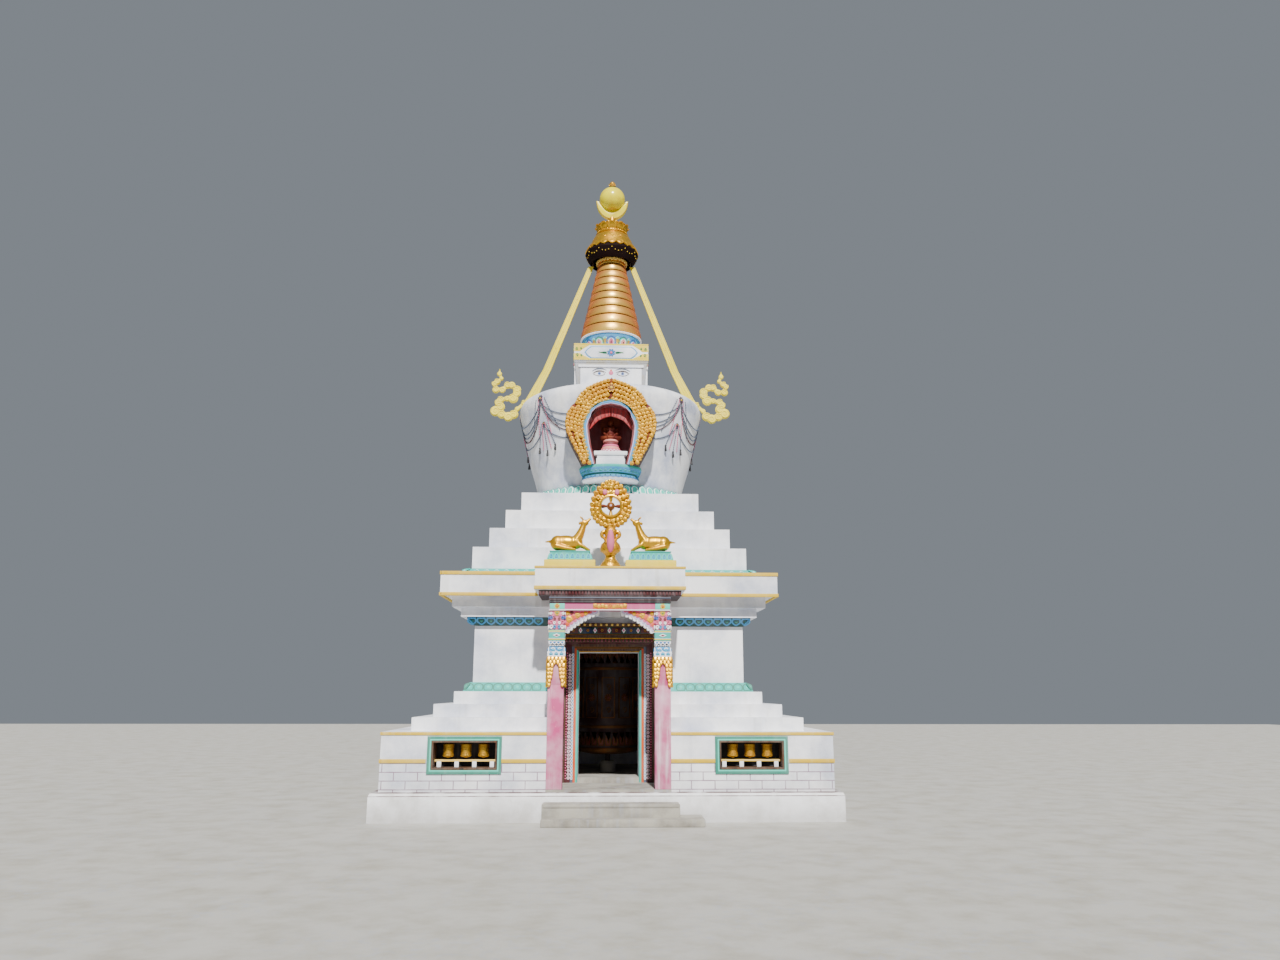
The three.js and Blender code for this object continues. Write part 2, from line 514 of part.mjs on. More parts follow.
// Two flat streamers from the umbrella to the dome's shoulders, each ending in
// a curled cloud; links are [x, z, radius] along the curl
const curl = [[2204, 8110, 14], [2206, 8018, 50], [2162, 7923, 40], [2246, 7854, 62], [2295, 7811, 57],
  [2266, 7690, 72], [2140, 7690, 64], [2038, 7785, 72], [1957, 7788, 72], [1850, 7700, 80],
  [1850, 7626, 80], [1920, 7515, 98], [2035, 7513, 57], [2165, 7485, 72], [2203, 7422, 81],
  [2170, 7339, 93], [2258, 7252, 106], [2136, 7182, 83], [2005, 7140, 95], [1900, 7185, 90],
  [1836, 7300, 50], [1700, 7420, 62]];
const disc = (x, z, r) => new THREE.CylinderGeometry(r, r, 32, 8).translate(x, 0, z);
const link = ([x0, z0, r0], [x1, z1, r1]) => {
  const length = Math.hypot(x1 - x0, z1 - z0);
  const [nx, nz] = [-(z1 - z0) / length, (x1 - x0) / length];
  return plate([[x0 + nx * r0, z0 + nz * r0], [x0 - nx * r0, z0 - nz * r0],
    [x1 - nx * r1, z1 - nz * r1], [x1 + nx * r1, z1 + nz * r1]], -16, 16);
};
const hanger = block([372, 396], [-10, 10], [10330, 10674]);
const band = plate([[365, 10344], [474, 10344], [1344, 8123], [1657, 7526], [1745, 7400], [1700, 7250],
  [1600, 7280], [1456, 7528], [1185, 8125]], -16, 16);
const streamer = toGeometry(toSolid(join(hanger, band, ...curl.map((p) => disc(...p)),
  ...curl.slice(1).map((p, i) => link(curl[i], p)))).subtract(domeSkin).subtract(fringeSkin));
piece('streamer_right', streamer, FINISH.cream);
piece('streamer_left', mirrorX(streamer), FINISH.cream);

export default group;
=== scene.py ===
"""The looks of a whitewashed stupa over a prayer wheel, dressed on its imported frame.

Sizes are metres in the frame of the model: the entrance faces -Y and Z is up.
"""

import json
import logging
import math
from contextlib import contextmanager
from dataclasses import dataclass
from enum import Enum
from typing import Any, Callable, ClassVar, Iterable, Iterator, Sequence

import bmesh
import bpy
from mathutils import Matrix, Vector

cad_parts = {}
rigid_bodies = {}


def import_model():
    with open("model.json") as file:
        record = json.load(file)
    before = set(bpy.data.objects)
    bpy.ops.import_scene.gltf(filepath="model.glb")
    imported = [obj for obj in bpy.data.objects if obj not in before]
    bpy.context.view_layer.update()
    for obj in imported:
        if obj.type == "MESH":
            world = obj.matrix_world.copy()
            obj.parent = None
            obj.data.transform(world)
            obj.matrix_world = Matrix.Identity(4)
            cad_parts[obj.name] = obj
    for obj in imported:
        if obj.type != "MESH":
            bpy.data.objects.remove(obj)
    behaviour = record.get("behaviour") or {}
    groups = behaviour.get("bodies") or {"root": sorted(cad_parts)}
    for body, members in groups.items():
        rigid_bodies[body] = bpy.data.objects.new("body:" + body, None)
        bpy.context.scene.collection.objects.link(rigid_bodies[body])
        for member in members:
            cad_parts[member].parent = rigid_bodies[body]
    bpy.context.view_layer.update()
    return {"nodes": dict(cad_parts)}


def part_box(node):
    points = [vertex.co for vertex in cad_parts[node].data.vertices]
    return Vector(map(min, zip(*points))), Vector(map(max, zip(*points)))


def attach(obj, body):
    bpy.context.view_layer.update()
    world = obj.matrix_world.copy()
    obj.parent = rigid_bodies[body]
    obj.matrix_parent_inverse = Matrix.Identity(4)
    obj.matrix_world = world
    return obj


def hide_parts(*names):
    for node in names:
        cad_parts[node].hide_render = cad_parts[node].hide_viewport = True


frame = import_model()
LOG = logging.getLogger("stupa")
BODY = "structure"
SIDES = (-1, 1)
LEFT_RIGHT = (("left", -1), ("right", 1))
FLIP = Matrix.Scale(-1, 4, (1, 0, 0))
UPSIDE_DOWN = Matrix.Rotation(math.pi, 4, "Y")
CREASE = math.radians(35)
WELD = 1e-4
Outline = Sequence[tuple[float, float]]
Table = tuple[tuple[Any, ...], ...]
Point = Sequence[float]
Test = Callable[[Vector, Vector], bool]
Material = bpy.types.Material
Socket = bpy.types.NodeSocket
Sockets = bpy.types.bpy_prop_collection


def turn(quarter: float) -> Matrix:
    """Return the turn about Z that carries the front face to a side: 1 right, 2 back, 3 left."""
    return Matrix.Rotation(math.pi / 2 * quarter, 4, "Z")


def move(x: float, y: float, z: float) -> Matrix:
    """Return a plain shift."""
    return Matrix.Translation((x, y, z))


def stand(foot: Point, up: Point = (0, 0, 1), out: Point = (0, -1, 0)) -> Matrix:
    """Set a flat ornament up at a point.

    Args:
        foot: Where the ornament's own origin goes.
        up: Where its own Z runs.
        out: Where its face, its own -Y, looks.

    Returns:
        The matrix that carries it there.
    """
    back = -Vector(out).normalized()
    rise = (Vector(up) - Vector(up).dot(back) * back).normalized()
    side = back.cross(rise)
    return Matrix(((side.x, back.x, rise.x, foot[0]), (side.y, back.y, rise.y, foot[1]),
        (side.z, back.z, rise.z, foot[2]), (0, 0, 0, 1)))


def ring_places(count: int, radius: float, z: float, lean: float = 0.0, start: float = 0.0,
        down: bool = False) -> list[Matrix]:
    """Place ornaments round the axis.

    Args:
        count: How many go round.
        radius: Distance of their feet from the axis.
        z: Height of their feet.
        lean: Inward lean of their tops, in radians.
        start: Angle of the first one from the front.
        down: Whether they hang with their tops down.

    Returns:
        One matrix for each ornament.
    """
    tilt = Matrix.Rotation(-lean, 4, "X") @ (UPSIDE_DOWN if down else Matrix.Identity(4))
    return [Matrix.Rotation(start + math.tau * i / count, 4, "Z") @ move(0, -radius, z) @ tilt for i in range(count)]


def spiral(cx: float, cz: float, outer: float, inner: float, first: float, last: float, count: int,
        squeeze: float = 1.0) -> list[tuple[float, float]]:
    """Draw a spiral in the x-z plane.

    Args:
        cx: The x of its middle.
        cz: The z of its middle.
        outer: Its radius at the first point.
        inner: Its radius at the last point.
        first: Angle of the first point in degrees, from +x towards +z.
        last: Angle of the last point.
        count: How many points it has.
        squeeze: A factor on its height.

    Returns:
        Its points.
    """
    points = []
    for i in range(count):
        t = i / (count - 1)
        radius, angle = outer + (inner - outer) * t, math.radians(first + (last - first) * t)
        points.append((cx + radius * math.cos(angle), cz + radius * squeeze * math.sin(angle)))
    return points


def arc(cx: float, cz: float, radius: float, first: float, last: float, count: int,
        squeeze: float = 1.0) -> list[tuple[float, float]]:
    """Return the points of an arc, a spiral of even radius."""
    return spiral(cx, cz, radius, radius, first, last, count, squeeze)


def mirrored(outline: Outline) -> list[tuple[float, float]]:
    """Return an outline that runs up the right half and back down its mirror image."""
    return list(outline) + [(-x, z) for x, z in reversed(outline) if abs(x) > 1e-6]


class Piece:
    """One modelled piece, made and shaped with Blender's own operators."""

    def __init__(self, body: bpy.types.Object | None = None) -> None:
        """Take an object, or the one that was just added."""
        self.body = body or bpy.context.view_layer.objects.active

    @staticmethod
    def pick(*pieces: "Piece") -> None:
        """Select only the given pieces, the first one active.

        Args:
            pieces: The pieces.
        """
        bpy.ops.object.select_all(action="DESELECT")
        for piece in reversed(pieces):
            piece.body.select_set(True)
            bpy.context.view_layer.objects.active = piece.body

    @classmethod
    def added(cls) -> "Piece":
        """Take a primitive that was just added, with its size and place in its mesh."""
        bpy.ops.object.transform_apply(location=True, rotation=True, scale=True)
        return cls()

    @contextmanager
    def editing(self) -> Iterator[None]:
        """Open the piece in edit mode with all of it selected, and close it again.

        Returns:
            A context to work in.
        """
        Piece.pick(self)
        bpy.ops.object.mode_set(mode="EDIT")
        bpy.ops.mesh.select_mode(type="VERT")
        bpy.ops.mesh.select_all(action="SELECT")
        yield
        bpy.ops.object.mode_set(mode="OBJECT")

    def choose(self, test: Test) -> None:
        """Select faces in edit mode.

        Args:
            test: Tells from a face's centre and normal whether it is taken.
        """
        bpy.ops.mesh.select_mode(type="FACE")
        bpy.ops.mesh.select_all(action="DESELECT")
        mesh = bmesh.from_edit_mesh(self.body.data)
        for face in mesh.faces:
            if test(face.calc_center_median(), face.normal):
                face.select_set(True)
        bmesh.update_edit_mesh(self.body.data)

    def settle(self, bevel: float = 0.0, segments: int = 2, rim: bool = False) -> None:
        """Turn the faces outwards in edit mode and soften edges.

        Args:
            bevel: Width of the softened edges.
            segments: How many faces round one edge.
            rim: Whether only the edges of the front face are softened.
        """
        bpy.ops.mesh.select_all(action="SELECT")
        bpy.ops.mesh.normals_make_consistent(inside=False)
        if bevel:
            if rim:
                self.choose(lambda at, facing: facing.y < -0.9)
            bpy.ops.mesh.bevel(offset=bevel, segments=segments, affect="EDGES", clamp_overlap=True)

    @staticmethod
    def extrude(shift: Point) -> None:
        """Extrude what is selected in edit mode."""
        bpy.ops.mesh.extrude_region_move(TRANSFORM_OT_translate={"value": shift})

    def assign(self, slot: int) -> None:
        """Give the faces selected in edit mode one of the piece's finishes."""
        self.body.active_material_index = slot
        bpy.ops.object.material_slot_assign()

    def patch(self, slot: int, test: Test) -> "Piece":
        """Give some faces another of the piece's finishes.

        Args:
            slot: The finish's number, in the order of coat.
            test: Tells from a face's centre and normal whether it is taken.

        Returns:
            The same piece.
        """
        with self.editing():
            self.choose(test)
            self.assign(slot)
        return self

    @staticmethod
    def bar(low: Point, high: Point, coat: str, bevel: float = 0.004) -> "Piece":
        """Make a painted bar with softened edges.

        Args:
            low: Its lowest corner.
            high: Its highest corner.
            coat: Its finish.
            bevel: Width of the softened edges.

        Returns:
            The new piece.
        """
        bpy.ops.mesh.primitive_cube_add(size=1.0, location=[(a + b) / 2 for a, b in zip(low, high)],
            scale=[b - a for a, b in zip(low, high)])
        piece = Piece.added()
        with piece.editing():
            piece.settle(bevel)
        return piece.coat(coat)

    @staticmethod
    def tower(rings: Sequence[tuple[float, float, float]], centre: Point, bevel: float) -> "Piece":
        """Make a rectangular tower by extruding a square upwards and resizing it ring by ring.

        Args:
            rings: Half width, half depth and height of each ring, from below.
            centre: Where its axis stands.
            bevel: Width of its softened edges.

        Returns:
            The new piece.
        """
        bpy.ops.mesh.primitive_plane_add(size=2.0, location=(*centre, rings[0][2]))
        piece = Piece.added()
        with piece.editing():
            for a, b in zip([(1, 1, rings[0][2]), *rings], rings):
                if b[2] > a[2]:
                    Piece.extrude((0, 0, b[2] - a[2]))
                bpy.ops.transform.resize(value=(b[0] / a[0], b[1] / a[1], 1), center_override=(*centre, b[2]))
            piece.settle(bevel)
        return piece

    @staticmethod
    def wire(points: Iterable[Point]) -> "Piece":
        """Draw a line of edges by extruding one point along a path.

        Args:
            points: The path.

        Returns:
            The new piece.
        """
        path = [Vector(point) for point in points]
        bpy.ops.mesh.primitive_plane_add(size=0.01)
        piece = Piece()
        with piece.editing():
            bpy.ops.mesh.merge(type="CENTER")
            bpy.ops.transform.translate(value=path[0])
            for a, b in zip(path, path[1:]):
                bpy.ops.mesh.extrude_vertices_move(TRANSFORM_OT_translate={"value": b - a})
        return piece

    @staticmethod
    def plate(outline: Outline, near: float, far: float, bevel: float = 0.0, segments: int = 2,
            width: float = 0.0) -> "Piece":
        """Cut a plate, or a frame of even width, to an outline.

        Args:
            outline: Its outline in x and z.
            near: The y of its front face.
            far: The y of its back face.
            bevel: Width of the softened rim of the front face.
            segments: How many faces round that rim.
            width: The frame's width, or 0 for a full plate.

        Returns:
            The new piece.
        """
        piece = Piece.wire([(x, near, z) for x, z in outline])
        with piece.editing():
            bpy.ops.mesh.edge_face_add()
            if width:
                bpy.ops.mesh.inset(thickness=width, depth=0)
                bpy.ops.mesh.delete(type="FACE")
                bpy.ops.mesh.select_all(action="SELECT")
            Piece.extrude((0, far - near, 0))
            piece.settle(bevel, segments, True)
        return piece

    @staticmethod
    def turned(profile: Outline, steps: int, centre: Point = (0, 0)) -> "Piece":
        """Turn a profile round an upright axis.

        Args:
            profile: Radius and height of each point; it ends on the axis or closes.
            steps: How many faces go round.
            centre: Where the axis stands.

        Returns:
            The new piece.
        """
        piece = Piece.wire([(centre[0] + r, centre[1], z) for r, z in profile])
        with piece.editing():
            bpy.ops.mesh.spin(steps=steps, angle=math.tau, center=(*centre, 0), axis=(0, 0, 1))
            bpy.ops.mesh.select_all(action="SELECT")
            bpy.ops.mesh.remove_doubles(threshold=WELD)
            piece.settle()
        return piece

    @staticmethod
    def tube(points: Iterable[Point], radius: float, sides: int, taper: Sequence[float] = (),
            smooth: int = 0) -> "Piece":
        """Draw a rod along a path.

        Args:
            points: The path.
            radius: Half its thickness.
            sides: Fineness of its round section.
            taper: A factor on the radius at each point, or none.
            smooth: How many times the path is rounded.

        Returns:
            The new piece.
        """
        Piece.pick(Piece.wire(points))
        bpy.ops.object.convert(target="CURVE")
        line = bpy.context.view_layer.objects.active.data
        line.bevel_depth, line.bevel_resolution, line.use_fill_caps = radius, sides, True
        for spot, factor in zip(line.splines[0].points, taper):
            spot.radius = factor
        if smooth:
            line.resolution_u = smooth
            for spline in line.splines:
                spline.type, spline.order_u, spline.use_endpoint_u = "NURBS", 4, True
        bpy.ops.object.convert(target="MESH")
        piece = Piece()
        with piece.editing():
            piece.settle()
        return piece

    @staticmethod
    def ball(centre: Point, radii: Point, segments: int = 16, rings: int = 10) -> "Piece":
        """Make a rounded lump, the start of a modelled body or a bead.

        Args:
            centre: Its middle.
            radii: Its half width, half depth and half height.
            segments: How many faces go round it.
            rings: How many faces go from pole to pole.

        Returns:
            The new piece.
        """
        bpy.ops.mesh.primitive_uv_sphere_add(segments=segments, ring_count=rings, radius=1.0, location=centre,
            scale=radii)
        return Piece.added()

    @staticmethod
    def join(pieces: Sequence["Piece"]) -> "Piece":
        """Join pieces into one.

        Args:
            pieces: The pieces; the first one's finishes come first.

        Returns:
            The joined piece.
        """
        Piece.pick(*pieces)
        if len(pieces) > 1:
            bpy.ops.object.join()
        return Piece()

    @staticmethod
    def moulded(lumps: Sequence["Piece"], grain: float, soften: int, keep: float = 1.0) -> "Piece":
        """Melt lumps into one body, as clay is.

        Args:
            lumps: The lumps that it is made of.
            grain: Size of the smallest detail it keeps.
            soften: How often its surface is smoothed.
            keep: The share of faces kept at the end.

        Returns:
            The new piece.
        """
        piece = Piece.join(lumps)
        piece.modify("REMESH", mode="VOXEL", voxel_size=grain)
        piece.modify("SMOOTH", factor=0.6, iterations=soften)
        if keep < 1:
            piece.modify("DECIMATE", ratio=keep)
        return piece

    def copies(self, places: Iterable[Matrix]) -> list["Piece"]:
        """Copy the piece, each copy with its own mesh; the piece itself stays.

        Args:
            places: Where each copy goes.

        Returns:
            The copies.
        """
        made = []
        for place in places:
            copy = Piece(self.body.copy())
            copy.body.data = self.body.data.copy()
            bpy.context.collection.objects.link(copy.body)
            made.append(copy.at(place))
        return made

    def times(self, places: Iterable[Matrix]) -> "Piece":
        """Repeat the piece.

        Args:
            places: Where each copy goes.

        Returns:
            All the copies as one piece.
        """
        made = Piece.join(self.copies(places))
        self.drop()
        return made

    def drop(self) -> None:
        """Remove the piece."""
        bpy.data.objects.remove(self.body)

    def at(self, place: Matrix) -> "Piece":
        """Carry the piece's mesh to its place.

        Args:
            place: The matrix that does it.

        Returns:
            The same piece.
        """
        self.body.data.transform(place)
        if place.determinant() < 0:
            self.body.data.flip_normals()
        return self

    def modify(self, kind: str, **settings: object) -> None:
        """Add a modifier and apply it.

        Args:
            kind: The modifier's type.
            settings: Its settings.
        """
        Piece.pick(self)
        modifier = self.body.modifiers.new("step", kind)
        for key, value in settings.items():
            setattr(modifier, key, value)
        bpy.ops.object.modifier_apply(modifier="step")

    def cut(self, tool: "Piece") -> None:
        """Cut a tool's shape out of the piece, and drop the tool."""
        self.modify("BOOLEAN", operation="DIFFERENCE", object=tool.body, solver="EXACT")
        tool.drop()

    def coat(self, *names: str) -> "Piece":
        """Give the piece its finishes.

        Args:
            names: Their short names, in the order of the piece's slots.

        Returns:
            The same piece.
        """
        self.body.data.materials.clear()
        for name in names:
            self.body.data.materials.append(Store.get(name))
        return self

    def fit(self, name: str, slot: str, *replaces: str, body: str = BODY) -> None:
        """Finish the piece: name it, round its shading, and set it on its body.

        Args:
            name: Its name.
            slot: The record's slot that its finish comes from; not used.
            replaces: The CAD nodes that it stands for.
            body: The body that it moves with.
        """
        self.body.name = self.body.data.name = name
        Piece.pick(self)
        bpy.ops.object.shade_smooth_by_angle(angle=CREASE)
        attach(self.body, body)
        if replaces:
            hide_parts(*replaces)


def dress_nodes(coat: str, *nodes: str) -> None:
    """Give CAD nodes a finish in their own material slots.

    Args:
        coat: The finish's short name.
        nodes: The nodes.
    """
    for node in nodes:
        for slot in frame["nodes"][node].material_slots:
            slot.material = Store.get(coat)


class Tone(Enum):
    """Colours of the limewash, paints and metals, as screen values."""

    LIMEWASH = "f8f9fd"
    WHITE = LIMEWASH
    LIMEWASH_SHADE = "a8b1c8"
    CONCRETE = "a9a59a"
    CONCRETE_DARK = "77726a"
    MINT = "3cccb6"
    AQUA = "04aca0"
    TEAL = "007c68"
    DEEP_TEAL = "0c4440"
    SKY = "2492cc"
    BLUE = "2160b0"
    PINK = "be3e7a"
    ROSE = "dc628c"
    RED = "700410"
    MAROON = "4a0c14"
    MAROON_DARK = "2c0a0e"
    OCHRE = "d6b000"
    PALE_GOLD = "e8c256"
    YELLOW = "e8cc00"
    ORANGE = "d8500c"
    GREEN = "2c8a3a"
    CREAM = "f0dc28"
    WOOD = "5c3b22"
    BRICK_LINE = "8c7286"
    GOLD = "e0ac26"
    # Brown of gilt hollows: tarnish, and painted shade in the embossing.
    GOLD_DARK = "5c3608"
    COPPER = "b4602c"
    INK = "141318"
    BRONZE = "6a4a22"
    SMOKE = "180706"
    HOOP = "d27840"
    # Copper of the hoops' sides in their painted sheen, and of their hollows.
    BRASS = "d0a436"
    SLATE = "5a6478"
    LILAC = "cdbfe6"
    SCARLET = "a80410"
    SALMON = "ec9a90"
    FIGURE = "5c1a14"
    PAPER = "bcbab4"
    RUST = "6e2c14"
    NAVY = "16284e"
    DOME_SHADE = "98a4c6"
    SUN = "f4e800"

    @property
    def rgba(self) -> tuple[float, float, float, float]:
        """The colour in the linear values that shaders take.

        Returns:
            Its red, green, blue and alpha.
        """
        channels = [int(self.value[i:i + 2], 16) / 255 for i in (0, 2, 4)]
        r, g, b = [c / 12.92 if c <= 0.04045 else ((c + 0.055) / 1.055) ** 2.4 for c in channels]
        return r, g, b, 1.0


class Recipe:
    """A node tree written as a list of steps."""

    def __init__(self, tree: bpy.types.NodeTree) -> None:
        """Take the tree to write in."""
        self.tree = tree

    def step(self, kind: str, inputs: dict[str | int, object] | None = None, **settings: object) -> Sockets:
        """Add a node.

        Args:
            kind: The node's type without its first word, such as TexNoise.
            inputs: A value or another node's output for each input.
            settings: The node's properties.

        Returns:
            The new node's outputs.
        """
        node = self.tree.nodes.new("ShaderNode" + kind)
        for key, value in settings.items():
            setattr(node, key, value)
        for key, value in (inputs or {}).items():
            if isinstance(value, Socket):
                self.tree.links.new(value, node.inputs[key])
            else:
                node.inputs[key].default_value = value
        return node.outputs

    def here(self) -> Socket:
        """Return the object's own coordinates."""
        return self.step("TexCoord")["Object"]

    def math(self, operation: str, a: object, b: object = 0.0) -> Socket:
        """Work out one number from two."""
        return self.step("Math", {0: a, 1: b}, operation=operation)[0]

    def times(self, a: object, b: object) -> Socket:
        """Multiply two numbers."""
        return self.math("MULTIPLY", a, b)

    def mix(self, factor: object, a: object, b: object) -> Socket:
        """Blend two colours."""
        return self.step("Mix", {0: factor, 6: a, 7: b}, data_type="RGBA")[2]

    def stain(self, color: object, mask: Socket, amount: object, tone: Tone) -> Socket:
        """Blend a tone into a colour, as far as a mask and an amount say."""
        return self.mix(self.times(mask, amount), color, tone.rgba)

    def span(self, value: object, low: object, high: object, start: float = 0.0, end: float = 1.0) -> Socket:
        """Map a number from one span to another, held at its ends."""
        return self.step("MapRange", {"Value": value, "From Min": low, "From Max": high, "To Min": start,
            "To Max": end})[0]

    def stretched(self, place: Socket, scale: Point) -> Socket:
        """Stretch coordinates by a scale."""
        return self.step("Mapping", {"Vector": place, "Scale": scale})[0]

    def noise(self, place: Socket, scale: float, detail: float, rough: float = 0.55) -> Socket:
        """Return cloudy noise from 0 to 1."""
        return self.step("TexNoise", {"Vector": place, "Scale": scale, "Detail": detail, "Roughness": rough})["Fac"]

    def effect(self, effect: "Effect", **inputs: float) -> Sockets:
        """Place a shared effect with its own values."""
        return self.step("Group", inputs, node_tree=effect.tree)

    def relief(self, height: Socket, depth: float, strength: float) -> Socket:
        """Turn a height into a bumped normal."""
        return self.step("Bump", {"Height": height, "Distance": depth, "Strength": strength})[0]


class Effect(Enum):
    """Effects that several finishes share; each is built once as a node group."""

    WEATHER = "weathering"
    PAINT_WEAR = "paint_wear"
    GILT_RELIEF = "gilt_relief"
    SPLASH = "ground_splash"

    @property
    def tree(self) -> bpy.types.NodeTree:
        """The effect's node group."""
        return bpy.data.node_groups.get(self.value) or getattr(self, "_" + self.value)()

    def _open(self, **inputs: float) -> tuple[Recipe, Sockets, Socket, Socket | None]:
        """Start the group.

        Args:
            inputs: Its number inputs and their first values.

        Returns:
            The recipe to write in, its inputs, the object's coordinates, and those by its Scale.
        """
        recipe = Recipe(bpy.data.node_groups.new(self.value, "ShaderNodeTree"))
        for key, value in inputs.items():
            recipe.tree.interface.new_socket(key, in_out="INPUT", socket_type="NodeSocketFloat").default_value = value
        given, here, place = recipe.tree.nodes.new("NodeGroupInput").outputs, recipe.here(), None
        if "Scale" in inputs:
            place = recipe.step("VectorMath", {0: here, "Scale": given["Scale"]}, operation="SCALE")[0]
        return recipe, given, here, place

    @staticmethod
    def _close(recipe: Recipe, **outputs: Socket) -> bpy.types.NodeTree:
        """Give the group its outputs.

        Args:
            recipe: The recipe it was written in.
            outputs: What each output gives.

        Returns:
            The finished group.
        """
        for key in outputs:
            recipe.tree.interface.new_socket(key, in_out="OUTPUT", socket_type="NodeSocketFloat")
        out = recipe.tree.nodes.new("NodeGroupOutput")
        for key, value in outputs.items():
            recipe.tree.links.new(value, out.inputs[key])
        return recipe.tree

    def _weathering(self) -> bpy.types.NodeTree:
        """Build blotches, rain streaks and plaster grain.

        Returns:
            The node group.
        """
        recipe, _, _, place = self._open(Scale=1.0)
        patch = recipe.span(recipe.noise(place, 0.5, 2), 0.35, 0.65)
        streak = recipe.span(recipe.noise(recipe.stretched(place, (7, 7, 0.45)), 1.0, 5, 0.6), 0.5, 0.76)
        return self._close(recipe, Blotch=recipe.span(recipe.noise(place, 1.3, 6, 0.62), 0.42, 0.7),
            Streak=recipe.times(streak, patch), Grain=recipe.noise(place, 34, 5, 0.7))

    def _paint_wear(self) -> bpy.types.NodeTree:
        """Build chips, fading and brush height of old paint.

        Returns:
            The node group.
        """
        recipe, given, _, place = self._open(Scale=1.0, Chips=0.3)
        edge = recipe.math("SUBTRACT", 0.78, recipe.times(given["Chips"], 0.3))
        chip = recipe.span(recipe.noise(place, 14, 8, 0.68), edge, recipe.math("ADD", edge, 0.03))
        brush = recipe.noise(recipe.stretched(place, (60, 60, 6)), 1.0, 3)
        return self._close(recipe, Chip=chip, Fade=recipe.span(recipe.noise(place, 3.2, 5), 0.35, 0.68),
            Height=recipe.math("SUBTRACT", brush, chip))

    def _gilt_relief(self) -> bpy.types.NodeTree:
        """Build the leafy embossing of beaten gilt sheet and the mask of its hollows, darkened as tarnish and as
        painted shade.

        Returns:
            The node group.
        """
        recipe, _, here, place = self._open(Scale=12.0)
        warp = recipe.step("TexNoise", {"Vector": place, "Scale": 1.4, "Detail": 2.0})["Color"]
        bent = recipe.step("VectorMath", {0: place, 1: warp}, operation="ADD")[0]
        cells = recipe.step("TexVoronoi", {"Vector": bent, "Scale": 1.3, "Smoothness": 0.6},
            feature="SMOOTH_F1")["Distance"]
        curls = recipe.step("TexWave", {"Vector": bent, "Scale": 0.8, "Distortion": 5.0, "Detail": 2.0},
            wave_type="RINGS")["Fac"]
        height = recipe.math("ADD", recipe.times(cells, 0.7), recipe.times(curls, 0.3))
        return self._close(recipe, Crevice=recipe.span(height, 0.42, 0.12),
            Tarnish=recipe.span(recipe.noise(here, 5, 6, 0.6), 0.45, 0.72), Height=height)

    def _ground_splash(self) -> bpy.types.NodeTree:
        """Build the grime that rain throws up from a level.

        Returns:
            The node group.
        """
        recipe, given, here, _ = self._open(Level=0.0, Reach=0.4)
        ragged = recipe.times(recipe.noise(here, 2.4, 6, 0.65), given["Reach"])
        height = recipe.math("SUBTRACT", recipe.step("SeparateXYZ", {0: here})[2], given["Level"])
        ease = recipe.math("DIVIDE", recipe.math("SUBTRACT", height, ragged), given["Reach"])
        return self._close(recipe, Mask=recipe.span(ease, 0.45, -0.35))


@dataclass(frozen=True)
class Finish:
    """A finish of the whole surface; each kind writes its own steps."""

    name: str
    tone: Tone

    def inputs(self, recipe: Recipe) -> dict[str, object]:
        """Write the steps before the shader; each kind has its own.

        Args:
            recipe: The recipe to write in.

        Returns:
            A value or an output for each of the shader's inputs.
        """
        raise NotImplementedError

    def material(self) -> Material:
        """Build the material.

        Returns:
            The material.
        """
        made = bpy.data.materials.new(self.name)
        made.use_nodes = True
        made.node_tree.nodes.clear()
        recipe = Recipe(made.node_tree)
        shader = recipe.step("BsdfPrincipled", self.inputs(recipe))
        recipe.step("OutputMaterial", {"Surface": shader[0]})
        return made


